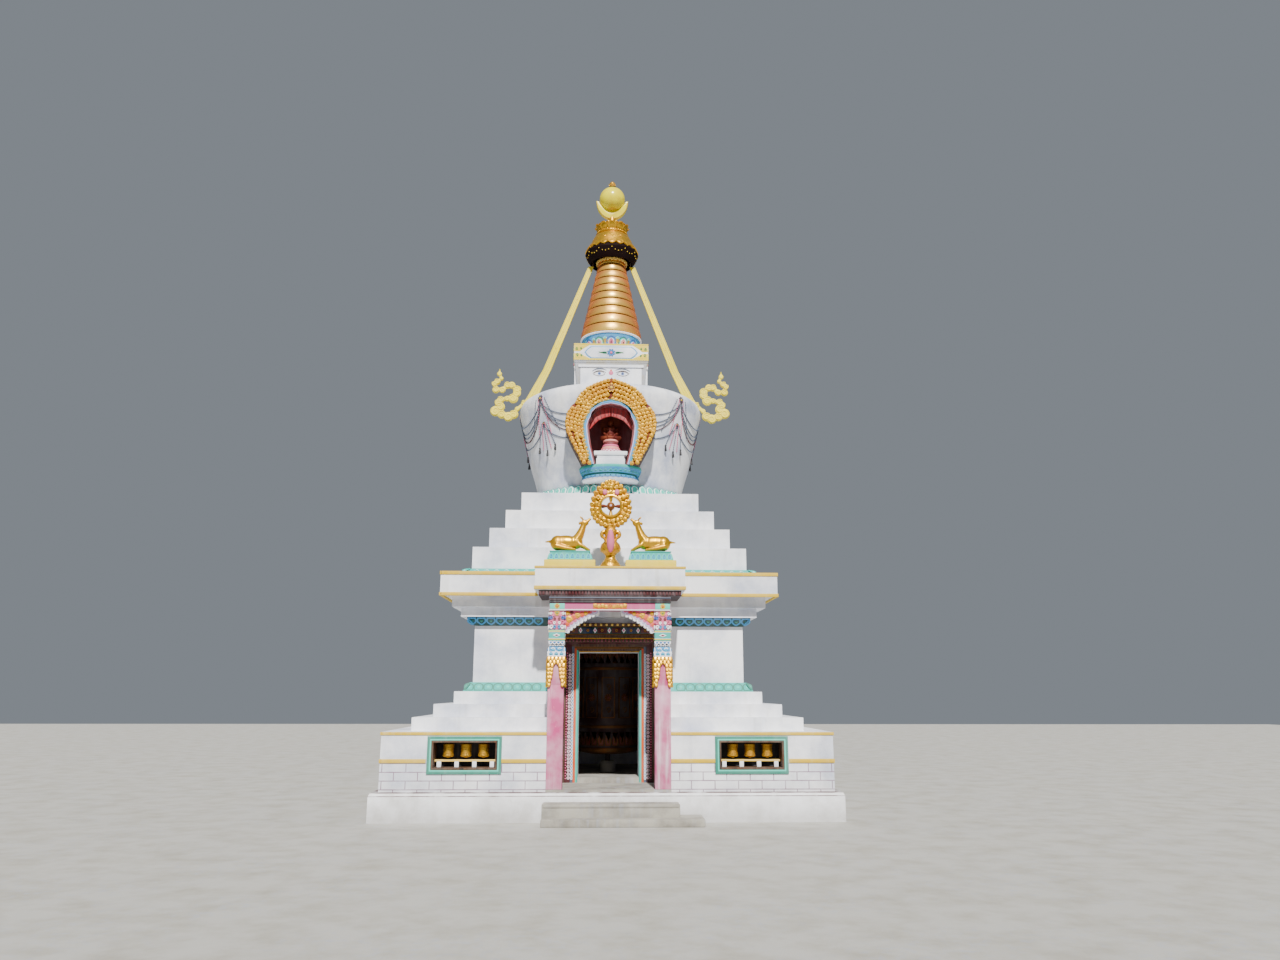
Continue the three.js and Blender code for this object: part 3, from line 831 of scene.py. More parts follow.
@dataclass(frozen=True)
class Whitewash(Finish):
    """Limewash on plaster: bluish white, blotched, with faint streaks and grime near the ground."""

    name: str = "limewash"
    tone: Tone = Tone.LIMEWASH
    shade: Tone = Tone.LIMEWASH_SHADE
    streaks: float = 0.35
    blotch: float = 0.75
    splash: float = 0.0
    level: float = 0.0
    bricks: bool = False
    lines: tuple[float, ...] = ()

    def inputs(self, recipe: Recipe) -> dict[str, object]:
        """Write the steps before the shader, and return what it takes.

        Args:
            recipe: The recipe to write in.

        Returns:
            The shader's inputs.
        """
        air = recipe.effect(Effect.WEATHER, Scale=1.0)
        color = recipe.stain(self.tone.rgba, air["Blotch"], self.blotch, self.shade)
        color = recipe.stain(color, air["Streak"], self.streaks, Tone.CONCRETE)
        if self.bricks:
            color = self._bricks(recipe, color)
        for z in self.lines:
            color = self._line(recipe, color, z)
        if self.splash:
            grime = recipe.effect(Effect.SPLASH, Level=self.level, Reach=0.35)
            color = recipe.stain(color, grime["Mask"], self.splash, Tone.CONCRETE_DARK)
        return {"Base Color": color, "Roughness": recipe.span(air["Grain"], 0.3, 0.7, 0.78, 0.92),
            "Normal": recipe.relief(air["Grain"], 0.006, 0.5)}

    @staticmethod
    def _bricks(recipe: Recipe, color: Socket) -> Socket:
        """Paint the brick lines below the lower gold band.

        Args:
            recipe: The recipe to write in.
            color: The colour under them.

        Returns:
            The colour with them.
        """
        here = recipe.step("SeparateXYZ", {0: recipe.here()})
        facing = recipe.step("SeparateXYZ", {0: recipe.step("NewGeometry")["Normal"]})
        side = recipe.math("GREATER_THAN", recipe.math("ABSOLUTE", facing[0]), 0.7)
        along = recipe.math("ADD", recipe.times(here[1], side),
            recipe.times(here[0], recipe.math("SUBTRACT", 1.0, side)))
        flat = recipe.step("CombineXYZ", {0: along, 1: recipe.math("SUBTRACT", here[2], 0.4538)})[0]
        joints = recipe.step("TexBrick", {"Vector": flat, "Scale": 1.0, "Mortar Size": 0.0085, "Mortar Smooth": 0.35,
            "Brick Width": 0.352, "Row Height": 0.1235}, offset=0.5)["Fac"]
        wobble = recipe.span(recipe.noise(recipe.stretched(recipe.here(), (1, 1, 1)), 6, 4), 0.25, 0.6, 0.5, 1.0)
        near = recipe.times(recipe.math("LESS_THAN", here[2], 0.825),
            recipe.math("LESS_THAN", recipe.math("ABSOLUTE", facing[2]), 0.5))
        return recipe.stain(color, recipe.times(joints, wobble), near, Tone.BRICK_LINE)

    @staticmethod
    def _line(recipe: Recipe, color: Socket, z: float) -> Socket:
        """Paint one thin maroon line round the base.

        Args:
            recipe: The recipe to write in.
            color: The colour under it.
            z: Its height.

        Returns:
            The colour with it.
        """
        here = recipe.step("SeparateXYZ", {0: recipe.here()})[2]
        mark = recipe.span(recipe.math("ABSOLUTE", recipe.math("SUBTRACT", here, z)), 0.0075, 0.004)
        worn = recipe.span(recipe.noise(recipe.stretched(recipe.here(), (1, 1, 1)), 4, 5), 0.3, 0.55, 0.25, 0.9)
        return recipe.stain(color, mark, worn, Tone.MAROON)


@dataclass(frozen=True)
class Paint(Finish):
    """Oil paint on plaster or wood, faded and chipped."""

    under: Tone = Tone.LIMEWASH
    chips: float = 0.12
    fade: float = 0.08
    streaks: float = 0.12
    rough: float = 0.55
    grime: float = 0.12
    gloss: float = 0.5

    def inputs(self, recipe: Recipe) -> dict[str, object]:
        """Write the steps before the shader, and return what it takes.

        Args:
            recipe: The recipe to write in.

        Returns:
            The shader's inputs.
        """
        wear = recipe.effect(Effect.PAINT_WEAR, Scale=1.0, Chips=self.chips)
        air = recipe.effect(Effect.WEATHER, Scale=2.0)
        color = recipe.stain(self.tone.rgba, wear["Fade"], self.fade, Tone.LIMEWASH)
        color = recipe.stain(color, air["Streak"], self.streaks, Tone.LIMEWASH)
        color = recipe.stain(color, air["Blotch"], self.grime, Tone.CONCRETE_DARK)
        color = recipe.mix(wear["Chip"], color, self.under.rgba)
        return {"Base Color": color, "Roughness": recipe.span(wear["Fade"], 0, 1, self.rough, self.rough + 0.25),
            "Normal": recipe.relief(wear["Height"], 0.002, 0.5), "Specular IOR Level": self.gloss}


@dataclass(frozen=True)
class Gilt(Finish):
    """Gilded metal or gold paint, embossed, with tarnish and painted shade in its hollows, and for some a painted sheen
    at grazing angles.
    """

    tone: Tone = Tone.GOLD
    dark: Tone = Tone.GOLD_DARK
    scale: float = 12.0
    depth: float = 0.01
    metal: float = 0.8
    rough: float = 0.34
    hollow_tarnish_and_shade: float = 0.7
    # Tone towards the edges as seen, so that the middle reads as a painted highlight and the sides as painted sheen.
    edge: Tone | None = None

    def inputs(self, recipe: Recipe) -> dict[str, object]:
        """Write the steps before the shader, and return what it takes.

        Args:
            recipe: The recipe to write in.

        Returns:
            The shader's inputs.
        """
        work = recipe.effect(Effect.GILT_RELIEF, Scale=self.scale)
        # Darken the hollows of the embossing: partly tarnish, partly painted shade.
        color = recipe.stain(self.tone.rgba, work["Crevice"], self.hollow_tarnish_and_shade, self.dark)
        color = recipe.stain(color, work["Tarnish"], 0.4, Tone.COPPER)
        # Painted sheen: where the surface turns away from the eye, the colour goes over to the edge tone.
        if self.edge:
            facing = recipe.step("LayerWeight", {"Blend": 0.35})["Facing"]
            color = recipe.mix(recipe.span(facing, 0.04, 0.45), color, self.edge.rgba)
        return {"Base Color": color, "Roughness": recipe.span(work["Tarnish"], 0, 1, self.rough, self.rough + 0.25),
            "Metallic": self.metal, "Normal": recipe.relief(work["Height"], self.depth, 0.7)}


@dataclass(frozen=True)
class Concrete(Finish):
    """Bare concrete or cement, stained and pitted."""

    tone: Tone = Tone.CONCRETE
    dark: Tone = Tone.CONCRETE_DARK

    def inputs(self, recipe: Recipe) -> dict[str, object]:
        """Write the steps before the shader, and return what it takes.

        Args:
            recipe: The recipe to write in.

        Returns:
            The shader's inputs.
        """
        air = recipe.effect(Effect.WEATHER, Scale=1.6)
        place = recipe.stretched(recipe.here(), (1, 1, 1))
        pits = recipe.step("TexVoronoi", {"Vector": place, "Scale": 55.0})["Distance"]
        color = recipe.mix(air["Blotch"], self.tone.rgba, self.dark.rgba)
        color = recipe.stain(color, air["Streak"], 0.6, Tone.LIMEWASH_SHADE)
        color = recipe.mix(recipe.span(pits, 0.12, 0.05, 0, 0.5), color, self.dark.rgba)
        height = recipe.math("ADD", air["Grain"], recipe.span(pits, 0.02, 0.15))
        return {"Base Color": color, "Roughness": recipe.span(air["Grain"], 0.3, 0.7, 0.8, 0.95),
            "Normal": recipe.relief(height, 0.01, 0.6)}


@dataclass(frozen=True)
class Timber(Finish):
    """Old stained wood with long grain."""

    tone: Tone = Tone.WOOD
    dark: Tone = Tone.INK
    grain: tuple[float, float, float] = (40, 40, 2)

    def inputs(self, recipe: Recipe) -> dict[str, object]:
        """Write the steps before the shader, and return what it takes.

        Args:
            recipe: The recipe to write in.

        Returns:
            The shader's inputs.
        """
        lines = recipe.noise(recipe.stretched(recipe.here(), self.grain), 1.0, 6, 0.6)
        air = recipe.effect(Effect.WEATHER, Scale=3.0)
        color = recipe.mix(recipe.span(lines, 0.4, 0.7), self.tone.rgba, self.dark.rgba)
        return {"Base Color": recipe.stain(color, air["Blotch"], 0.35, Tone.CONCRETE_DARK),
            "Roughness": recipe.span(lines, 0.3, 0.7, 0.5, 0.75), "Normal": recipe.relief(lines, 0.002, 0.6)}


class Store:
    """The finishes on hand, each built when it is first asked for."""

    dark_limit: ClassVar[float] = 0.1
    _made: ClassVar[dict[str, Material]] = {}
    _paints: ClassVar[dict[Tone, str]] = {Tone.LIMEWASH: "aqua mint sky rose yellow pale_gold lilac",
        Tone.LIMEWASH_SHADE: "ochre cream", Tone.WOOD: "teal red maroon maroon_dark ink navy", Tone.TEAL: "deep_teal",
        Tone.SKY: "blue", Tone.OCHRE: "orange", Tone.MINT: "green", Tone.CONCRETE: "white", Tone.RED: "scarlet",
        Tone.ROSE: "salmon"}
    _others: ClassVar[dict[str, Finish]] = {"wall": Whitewash(),
        "plinth": Whitewash("plinth_limewash", bricks=True, splash=0.12, level=0.42),
        "base": Whitewash("base_limewash", shade=Tone.CONCRETE, splash=0.45, lines=(0.372, 0.416)),
        "slope": Whitewash("roof_limewash", streaks=0.7),
        "dome": Whitewash("dome_limewash", shade=Tone.DOME_SHADE, streaks=0.3, blotch=0.95),
        "pillar": Paint("pillar_pink", Tone.PINK, Tone.ROSE, chips=0.5, fade=0.35, streaks=1.0, rough=0.5),
        "beam": Paint("beam_pink", Tone.PINK, Tone.ROSE, chips=0.2, fade=0.1), "gilt": Gilt("gilt_sheet"),
        "brass": Gilt("wheel_brass", Tone.BRASS, scale=60.0, depth=0.003, rough=0.36),
        "gold_paint": Gilt("gold_paint", scale=30.0, depth=0.004, metal=0.45, rough=0.4, hollow_tarnish_and_shade=0.8),
        # The hoops: pale gold facing the eye and copper at grazing angles, a painted highlight and sheen.
        "hoop": Gilt("spire_gilt_painted_sheen", Tone.PALE_GOLD, Tone.HOOP, 5.0, 0.001, 0.55, 0.3, 0.2, Tone.HOOP),
        # Dark rust: painted shade in the spire's grooves and on the ground of the niche's gilt surround, plain dark
        # paint elsewhere.
        "copper_dark": Gilt("dark_rust_and_painted_shade", Tone.RUST, Tone.INK, scale=9.0, metal=0.4, rough=0.6),
        "gilt_smooth": Gilt("gilt_smooth", scale=16.0, depth=0.003, rough=0.3, hollow_tarnish_and_shade=0.35),
        "bright_gilt": Gilt("bright_gilt", scale=26.0, depth=0.001, rough=0.3, hollow_tarnish_and_shade=0.2),
        "sunny": Gilt("sun_gilt", Tone.SUN, Tone.OCHRE, scale=4.0, depth=0.001, metal=0.0, rough=0.2, hollow_tarnish_and_shade=0.1),
        "figure": Gilt("figure_gilt", Tone.FIGURE, Tone.INK, scale=30.0, depth=0.001, metal=0.5, rough=0.5),
        "bronze": Gilt("dark_bronze", Tone.BRONZE, Tone.INK, scale=30.0, depth=0.002, metal=0.7, rough=0.4),
        "fringe": Paint("fringe_brown", Tone.SMOKE, Tone.INK, fade=0.0, streaks=0.0, rough=0.75, grime=0.0, gloss=0.15),
        "slate": Paint("bead_slate", Tone.SLATE, Tone.INK, fade=0.0, streaks=0.0, rough=0.4),
        "concrete": Concrete("bare_concrete"), "cement": Concrete("grey_plaster", Tone.CONCRETE, Tone.LIMEWASH_SHADE),
        "paper": Concrete("studio_paper", Tone.PAPER, Tone.CONCRETE), "timber": Timber("door_timber")}

    @classmethod
    def _finish(cls, name: str) -> Finish:
        """Return the recipe of a finish; the plain paints are named for their tones.

        Args:
            name: Its short name.

        Returns:
            The finish.
        """
        for under, names in cls._paints.items():
            if name in names.split():
                tone = Tone[name.upper()]
                dark = max(tone.rgba[:3]) < cls.dark_limit
                return Paint(name + "_paint", tone, under, grime=0.03 if dark else 0.12, gloss=0.25 if dark else 0.5)
        return cls._others[name]

    @classmethod
    def get(cls, name: str) -> Material:
        """Return a finish's material by its short name.

        Args:
            name: Its short name.

        Returns:
            The material.
        """
        if name not in cls._made:
            cls._made[name] = cls._finish(name).material()
        return cls._made[name]


@dataclass
class Base:
    """The spreading plinth, the entrance steps and the floor of the chamber."""

    treads: Table = (((-0.96, -3.8, 0.0), (1.03, -3.502, 0.288), 0.014),
        ((-0.948, -3.812, 0.236), (1.018, -3.502, 0.292), 0.02), ((-0.96, -4.02, 0.0), (1.37, -3.502, 0.106), 0.012),
        ((-0.945, -4.01, 0.06), (1.35, -3.502, 0.112), 0.02))

    def build(self) -> None:
        """Dress the carried-over solids, and model the worn steps."""
        dress_nodes("base", "base_plinth")
        dress_nodes("concrete", "floor")
        treads = [Piece.bar(low, high, "concrete", bevel) for low, high, bevel in self.treads]
        Piece.join(treads).fit("worn_steps", "concrete", "entrance_steps")


@dataclass
class Plinth:
    """The first storey's wall: brick lines and two gold bands."""

    half: float = 3.38
    proud: float = 0.014
    front_stop: float = 0.93
    lower: tuple[float, float] = (0.831, 0.888)
    upper: tuple[float, float] = (1.231, 1.276)
    niche: tuple[float, float] = (1.603, 2.705)

    def build(self) -> None:
        """Dress the wall and lay the bands."""
        dress_nodes("plinth", "plinth_front_left", "plinth_front_right", "plinth_left", "plinth_right", "plinth_back")
        bars = []
        end = self.half + self.proud
        for quarter in range(4):
            for low, high in (self.lower, self.upper):
                stops = [-self.half, end]
                if quarter == 0:
                    stops += [-self.front_stop, self.front_stop]
                if low == self.lower[0]:
                    near, far = self.niche
                    stops += [-far, -near, near, far]
                stops.sort()
                for a, b in zip(stops[::2], stops[1::2]):
                    bar = Piece.bar((a, -end, low), (b, -self.half + 0.02, high), "ochre", 0.005)
                    bars.append(bar.at(turn(quarter)))
        Piece.join(bars).fit("plinth_gold_bands", "gilding")


@dataclass
class WheelNiches:
    """The eight niches in the plinth, each with three prayer wheels on a rail."""

    middle: float = 2.142
    pitch: float = 0.263
    face: float = -3.38
    wheel_y: float = -3.2
    radius: float = 0.084
    bottom: float = 0.895
    top: float = 1.122
    rim: tuple[float, float, float, float] = (1.603, 2.705, 0.672, 1.216)
    # The last frame, an ink ring deep inside the lining, is painted shade of the niche's depth.
    frames: Table = ((0.0, 0.04, -0.0225, 0.02, "teal", 0.006), (0.036, 0.026, -0.0235, 0.02, "mint", 0.008),
        (0.06, 0.032, -0.0245, 0.3, "timber", 0.004), (0.06, 0.012, 0.28, 0.37, "ink", 0.0))

    def _rectangle(self, shrink: float) -> Outline:
        """Return the rim's outline, shrunk evenly, about the niche's own middle.

        Args:
            shrink: How far inside the rim it runs.

        Returns:
            Its four corners.
        """
        x0, x1, z0, z1 = self.rim
        half = (x1 - x0) / 2 - shrink
        return [(-half, z0 + shrink), (half, z0 + shrink), (half, z1 - shrink), (-half, z1 - shrink)]

    def surround(self) -> Piece:
        """Model one niche: nested frames of teal, mint and timber, the lining, the rail and its blocks.

        Returns:
            The niche about its own middle.
        """
        y = self.face
        parts = []
        for shrink, width, near, far, coat, bevel in self.frames:
            ring = Piece.plate(self._rectangle(shrink), y + near, y + far, bevel, width=width)
            parts.append(ring.coat(coat))
        half = (self.rim[1] - self.rim[0]) / 2 - 0.06
        low, high = self.rim[2] + 0.06, self.rim[3] - 0.06
        # The ink back plate is painted shade at the back of the niche.
        parts += [Piece.bar((-half, y + 0.36, low), (half, y + 0.379, high), "ink", 0),
            Piece.bar((-half, self.wheel_y - 0.03, 0.842), (half, self.wheel_y + 0.03, 0.872), "pale_gold")]
        for k in (-1.5, -0.5, 0.5, 1.5):
            x = k * self.pitch
            parts.append(Piece.bar((x - 0.032, self.wheel_y - 0.034, 0.745), (x + 0.032, self.wheel_y + 0.02, 0.845),
                "white", 0.006))
        return Piece.join(parts)

    def wheel(self) -> Piece:
        """Model one prayer wheel: a brass drum with raised bands, rows of leaves and bosses.

        Returns:
            The wheel on the upright axis.
        """
        r, b, t = self.radius, self.bottom, self.top
        half = [(0.024, 0.01), (r * 0.72, 0.014), (r * 0.9, 0.022), (r, 0.03), (r, 0.042), (r - 0.007, 0.046),
            (r - 0.007, 0.07), (r - 0.002, 0.073), (r - 0.002, 0.08), (r - 0.009, 0.083)]
        profile = [(0, b), (0.02, b)] + [(x, b + z) for x, z in half] + [(x, t - z) for x, z in reversed(half)]
        parts = [Piece.turned(profile + [(0.02, t), (0, t)], 40)]
        leaf = Lotus.petal(0.03, 0.024, 0.004, ("brass", "brass", "brass"))
        parts.append(leaf.times(ring_places(16, r - 0.008, b + 0.046) + ring_places(16, r - 0.008, t - 0.07)))
        boss = Piece.plate(arc(0, 0, 0.016, 0, 315, 8), -0.005, 0.004, 0.002)
        parts.append(boss.times(ring_places(6, r - 0.009, (b + t) / 2)))
        return Piece.join(parts).coat("brass")

    def build(self) -> None:
        """Build every niche's frame and wheels."""
        spots = [turn(quarter) @ move(side * self.middle, 0, 0) for quarter in range(4) for side in SIDES]
        frames = self.surround().times(spots)
        frames.fit("niche_surrounds", "teal_paint", "wheel_niche_left", "wheel_niche_right", "niche_wheels_left",
            "niche_wheels_right", "niche_wheels_back")
        master = self.wheel()
        for name, side in LEFT_RIGHT:
            for number in (1, 2, 3):
                node = f"prayer_wheel_{name}_{number}"
                low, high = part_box(node)
                wheel = master.copies([move((low[0] + high[0]) / 2, self.wheel_y, 0)])[0]
                wheel.fit(f"brass_wheel_{name}_{number}", "wheel_brass", node, body=f"wheel_{name}_{number}_body")
        fixed = [turn(quarter) @ move(side * self.middle + k * self.pitch, self.wheel_y, 0) for quarter in (1, 2, 3)
            for side in SIDES for k in (-1, 0, 1)]
        master.times(fixed).fit("side_brass_wheels", "wheel_brass")


@dataclass
class Lotus:
    """The courses of painted lotus petals under and over the cella walls."""

    pitch: float = 0.16
    front_gap: float = 0.97
    courses: Table = (("lower_petals", 0.158, 0.016, ("teal", "aqua", "mint"), 0.18, 2.338, 1.878, (-0.578, 0.816),
        True), ("upper_petals", 0.156, 0.014, ("sky", "deep_teal", "teal"), 0.3, 2.332, 3.05, (-0.677, -0.735), True),
        ("roof_petals", 0.16, 0.012, ("aqua", "white", "aqua"), 0.2, 2.438, 3.768, (-0.84, 0.54), False))

    @staticmethod
    def petal(width: float, height: float, thick: float, coats: Sequence[str], pointed: float = 0.25,
            inset: float = 0.16) -> Piece:
        """Model one petal: an arched plate with an inset field and a raised heart.

        Args:
            width: Its width.
            height: Its height.
            thick: How far it stands out.
            coats: Finishes of its rim, field and heart.
            pointed: How much of its height its point takes.
            inset: Width of its rim, as a share of its width.

        Returns:
            The petal, its foot at the origin and its face towards -Y.
        """
        half = width / 2
        shoulder = height * (1 - pointed)
        side = [(half * 0.82, 0), (half, height * 0.3), (half * 0.98, shoulder * 0.8), (half * 0.78, shoulder),
            (half * 0.38, height * (1 - pointed * 0.35)), (0, height)]
        piece = Piece.plate(mirrored(side)[:-1] + [(-half * 0.82, 0)], -thick * 0.6, thick)
        piece.coat(*coats)
        with piece.editing():
            piece.choose(lambda at, facing: facing.y < -0.9)
            bpy.ops.mesh.inset(thickness=width * inset, depth=0)
            piece.assign(1)
            bpy.ops.transform.translate(value=(0, thick * 0.25, 0))
            bpy.ops.mesh.inset(thickness=width * inset * 0.5, depth=0)
            bpy.ops.mesh.inset(thickness=width * inset * 0.6, depth=0)
            piece.assign(2)
            bpy.ops.transform.translate(value=(0, -thick * 0.5, 0))
        return piece

    def course(self, half: float, z: float, up: Point, gap: bool) -> list[Matrix]:
        """Place petals along all four walls.

        Args:
            half: Distance of their feet from the middle.
            z: Height of their feet.
            up: Their own rise, as outward and upward parts.
            gap: Whether the front leaves the doorway free.

        Returns:
            One matrix for each petal.
        """
        places = []
        count = 2 * round(half / self.pitch)
        for quarter in range(4):
            for i in range(count):
                x = -half + (i + 0.5) * 2 * half / count
                if gap and quarter == 0 and abs(x) < self.front_gap + 0.06:
                    continue
                rise, out = (0, -up[0], up[1]), (0, -abs(up[1]), up[0] if up[1] < 0 else -up[0])
                places.append(turn(quarter) @ stand((x, -half, z), rise, out))
        return places

    def build(self) -> None:
        """Build the three courses."""
        dress_nodes("aqua", "lotus_course_lower", "lotus_course_roof")
        dress_nodes("deep_teal", "lotus_course_upper")
        for name, width, thick, coats, pointed, half, z, up, gap in self.courses:
            petal = self.petal(width, 0.152, thick, coats, pointed)
            petal.times(self.course(half, z, up, gap)).fit(name, "lotus_aqua")


@dataclass
class Cella:
    """The white walls, the steps that carry them, and the stepped roof above."""

    def build(self) -> None:
        """Dress the carried-over solids."""
        dress_nodes("wall", "cella_front_left", "cella_front_right", "cella_over_door", "cella_rear", "terrace_1",
            "terrace_2", "terrace_3", "terrace_4")
        dress_nodes("slope", "cornice_course_lower", "cornice_course_upper", "cornice_fascia")


@dataclass
class Cornice:
    """The gold bands of the main cornice and of the porch roof."""

    half: float = 2.722
    proud: float = 0.014
    levels: Outline = ((3.37, 3.424), (3.707, 3.764))
    porch_half: float = 1.158
    porch_front: float = -3.45
    porch_levels: Outline = ((3.405, 3.459), (3.731, 3.766))

    def build(self) -> None:
        """Lay the bands, butted at the corners and against the porch roof."""
        bars = []
        end = self.half + self.proud
        for low, high in self.levels:
            for quarter in range(4):
                spans = [(-self.half, end)] if quarter else [(-self.half, -self.porch_half), (self.porch_half, end)]
                for a, b in spans:
                    bar = Piece.bar((a, -end, low), (b, -self.half + 0.03, high), "ochre", 0.006)
                    bars.append(bar.at(turn(quarter)))
        side, front = self.porch_half + self.proud, self.porch_front - self.proud
        for low, high in self.porch_levels:
            bars.append(Piece.bar((-side, front, low), (side, self.porch_front + 0.02, high), "ochre", 0.006))
            for sign in SIDES:
                a, b = sorted((sign * side, sign * (self.porch_half - 0.02)))
                bars.append(Piece.bar((a, self.porch_front + 0.02, low), (b, -self.half - 0.014, high), "ochre", 0.006))
        Piece.join(bars).fit("cornice_gold_bands", "gilding")


@dataclass
class Doorway:
    """The stepped and painted door surround, with its carved head panel."""

    half: float = 0.49
    top: float = 2.5
    face: float = -2.33
    wall: float = -2.211
    steps: Table = ((0.49, 0.506, "aqua", "gold_paint"), (0.506, 0.53, "mint", "timber"),
        (0.53, 0.566, "orange", "timber"), (0.566, 0.61, "slate", "bronze"), (0.61, 0.662, "maroon", "timber"),
        (0.662, 0.7, "maroon", "maroon"), (0.7, 0.74, "timber", "timber"))
    boards: Table = ((2.664, 2.712, 0.742, -2.348, "timber"), (2.712, 2.726, 0.745, -2.358, "gold_paint"),
        (2.726, 2.772, 0.74, -2.346, "timber"), (2.77, 2.79, 0.742, -2.376, "bronze"),
        (2.79, 2.902, 0.735, -2.372, "deep_teal"), (2.902, 2.912, 0.725, -2.382, "bronze"),
        (2.912, 2.963, 0.718, -2.378, "timber"))

    def surround(self) -> Piece:
        """Model the nested frames with their rows of scallops, blossoms and dots.

        Returns:
            The frames.
        """
        parts = []
        for number, (inner, outer, coat, head) in enumerate(self.steps):
            near, low = self.face + 0.05 - 0.008 * number, self.top + (inner - self.half) * 0.72
            high = low + (outer - inner) * 0.9
            for sign in SIDES:
                a, b = sorted((sign * inner, sign * outer))
                parts.append(Piece.bar((a, near, 0.455), (b, self.wall, high), coat))
            parts.append(Piece.bar((-inner, near - 0.001, low), (inner, self.wall, high), head))
        scallop = Lotus.petal(0.05, 0.04, 0.01, ("white", "sky", "blue"), 0.3)
        blossom = Carving.flower(0.027, ("white", "rose", "red"), 6)
        dot = Piece.ball((0, 0, 0), (0.011, 0.008, 0.011), 8, 6).coat("rose")
        for number, (master, x, deep, step) in enumerate(((scallop, 0.57, 0.0245, 0.052),
                (blossom, 0.636, 0.016, 0.058), (dot, 0.681, 0.008, 0.04))):
            parts.append(master.times([stand((sign * x, self.face + deep, 0.5 + step * (i + 0.5)), (0, 0, 1) if number
                else (sign, 0, 0)) for i in range(int((self.top - 0.5) / step)) for sign in SIDES]))
        return Piece.join(parts)

    def head(self) -> Piece:
        """Model the carved boards over the door: red drops, coloured squares and white dots.

        Returns:
            The boards.
        """
        parts = [Piece.bar((-half, near, low), (half, self.wall, high), coat)
            for low, high, half, near, coat in self.boards]
        drop = Lotus.petal(0.036, 0.042, 0.014, ("red", "red", "rose"), 0.45)
        parts.append(drop.times([stand((-0.7 + 0.058 * i, -2.352, 2.708), (0, 0, -1)) for i in range(25)]))
        for i in range(6):
            x = -0.5875 + 0.235 * i
            tile = Piece.bar((x - 0.078, -2.384, 2.8), (x + 0.078, -2.36, 2.892), ("maroon", "navy", "maroon")[i % 3],
                0.008)
            mark = Carving.flower(0.028, ("bronze", "gold_paint", "red"), 6).at(move(x, -2.384, 2.846))
            parts += [tile, mark]
            if i < 5:
                star = Carving.lozenge(0.03, 0.046, 0.008, ("white", "rose"))
                parts.append(star.at(move(x + 0.1175, -2.376, 2.846)))
        dot = Piece.ball((0, -2.38, 2.937), (0.021, 0.01, 0.021), 10, 8).coat("pale_gold")
        parts.append(dot.times([move(-0.675 + 0.09 * i, 0, 0) for i in range(16)]))
        return Piece.join(parts)

    def build(self) -> None:
        """Build the stepped surround and the head panel."""
        self.surround().fit("door_surround", "door_timber", "door_frame")
        self.head().fit("door_head", "door_timber", "door_head_panel")


@dataclass
class Chamber:
    """The great prayer wheel that turns inside: a dark red drum with dull gilt bands, both darkened as painted shade of
    the dim chamber.
    """

    radius: float = 0.6
    bottom: float = 0.83
    top: float = 2.7
    panels: int = 12

    def build(self) -> None:
        """Turn the drum and set its bands, cartouches and petals on it."""
        r, b, t = self.radius, self.bottom, self.top
        half = [(r, 0.055), (r - 0.012, 0.062), (r - 0.012, 0.4), (r - 0.004, 0.408), (r - 0.004, 0.44),
            (r - 0.012, 0.448)]
        profile = [(0, 0.5605), (0.04, 0.5605), (0.04, b - 0.06), (0.3, b - 0.06), (0.46, b - 0.036), (r, b)]
        profile += [(x, b + z) for x, z in half] + [(x, t - z) for x, z in reversed(half)]
        profile += [(r, t), (0.46, t + 0.04), (0.3, t + 0.07), (0.04, t + 0.07), (0.04, 3.0597), (0, 3.0597)]
        # Dark maroon and dull bronze: the drum's red and gilt, darkened as painted shade of the chamber.
        drum = Piece.turned(profile, 72).coat("maroon_dark", "bronze")
        drum.patch(1, lambda at, facing: math.hypot(at.x, at.y) > 0.2
            and not (b + 0.07 < at.z < b + 0.4 or b + 0.45 < at.z < t - 0.46 or t - 0.4 < at.z < t - 0.065))
        panel = Piece.plate([(-0.12, -0.36), (0.12, -0.36), (0.12, 0.36), (-0.12, 0.36)], -0.006, 0.012, 0.003,
            width=0.018)
        parts = [panel.coat("bronze"), Carving.flower(0.075, ("copper_dark", "bronze", "red")).at(move(0, 0.002, 0))]
        for z in (0.13, -0.27):
            parts.append(Carving.scroll(0.13, 0.012, "bronze").at(move(0, 0.004, z)))
        master = Piece.join(parts)
        cartouches = master.times(ring_places(self.panels, r - 0.012, (b + t) / 2))
        petal = Lotus.petal(0.115, 0.2, 0.014, ("bronze", "red", "bronze"), 0.35)
        spots = ring_places(30, r - 0.01, b + 0.1)
        spots += ring_places(30, r - 0.01, t - 0.1, down=True)
        petals = petal.times(spots)
        Piece.join([drum, cartouches, petals]).fit("great_drum", "drum_red", "great_prayer_wheel",
            body="great_wheel_body")


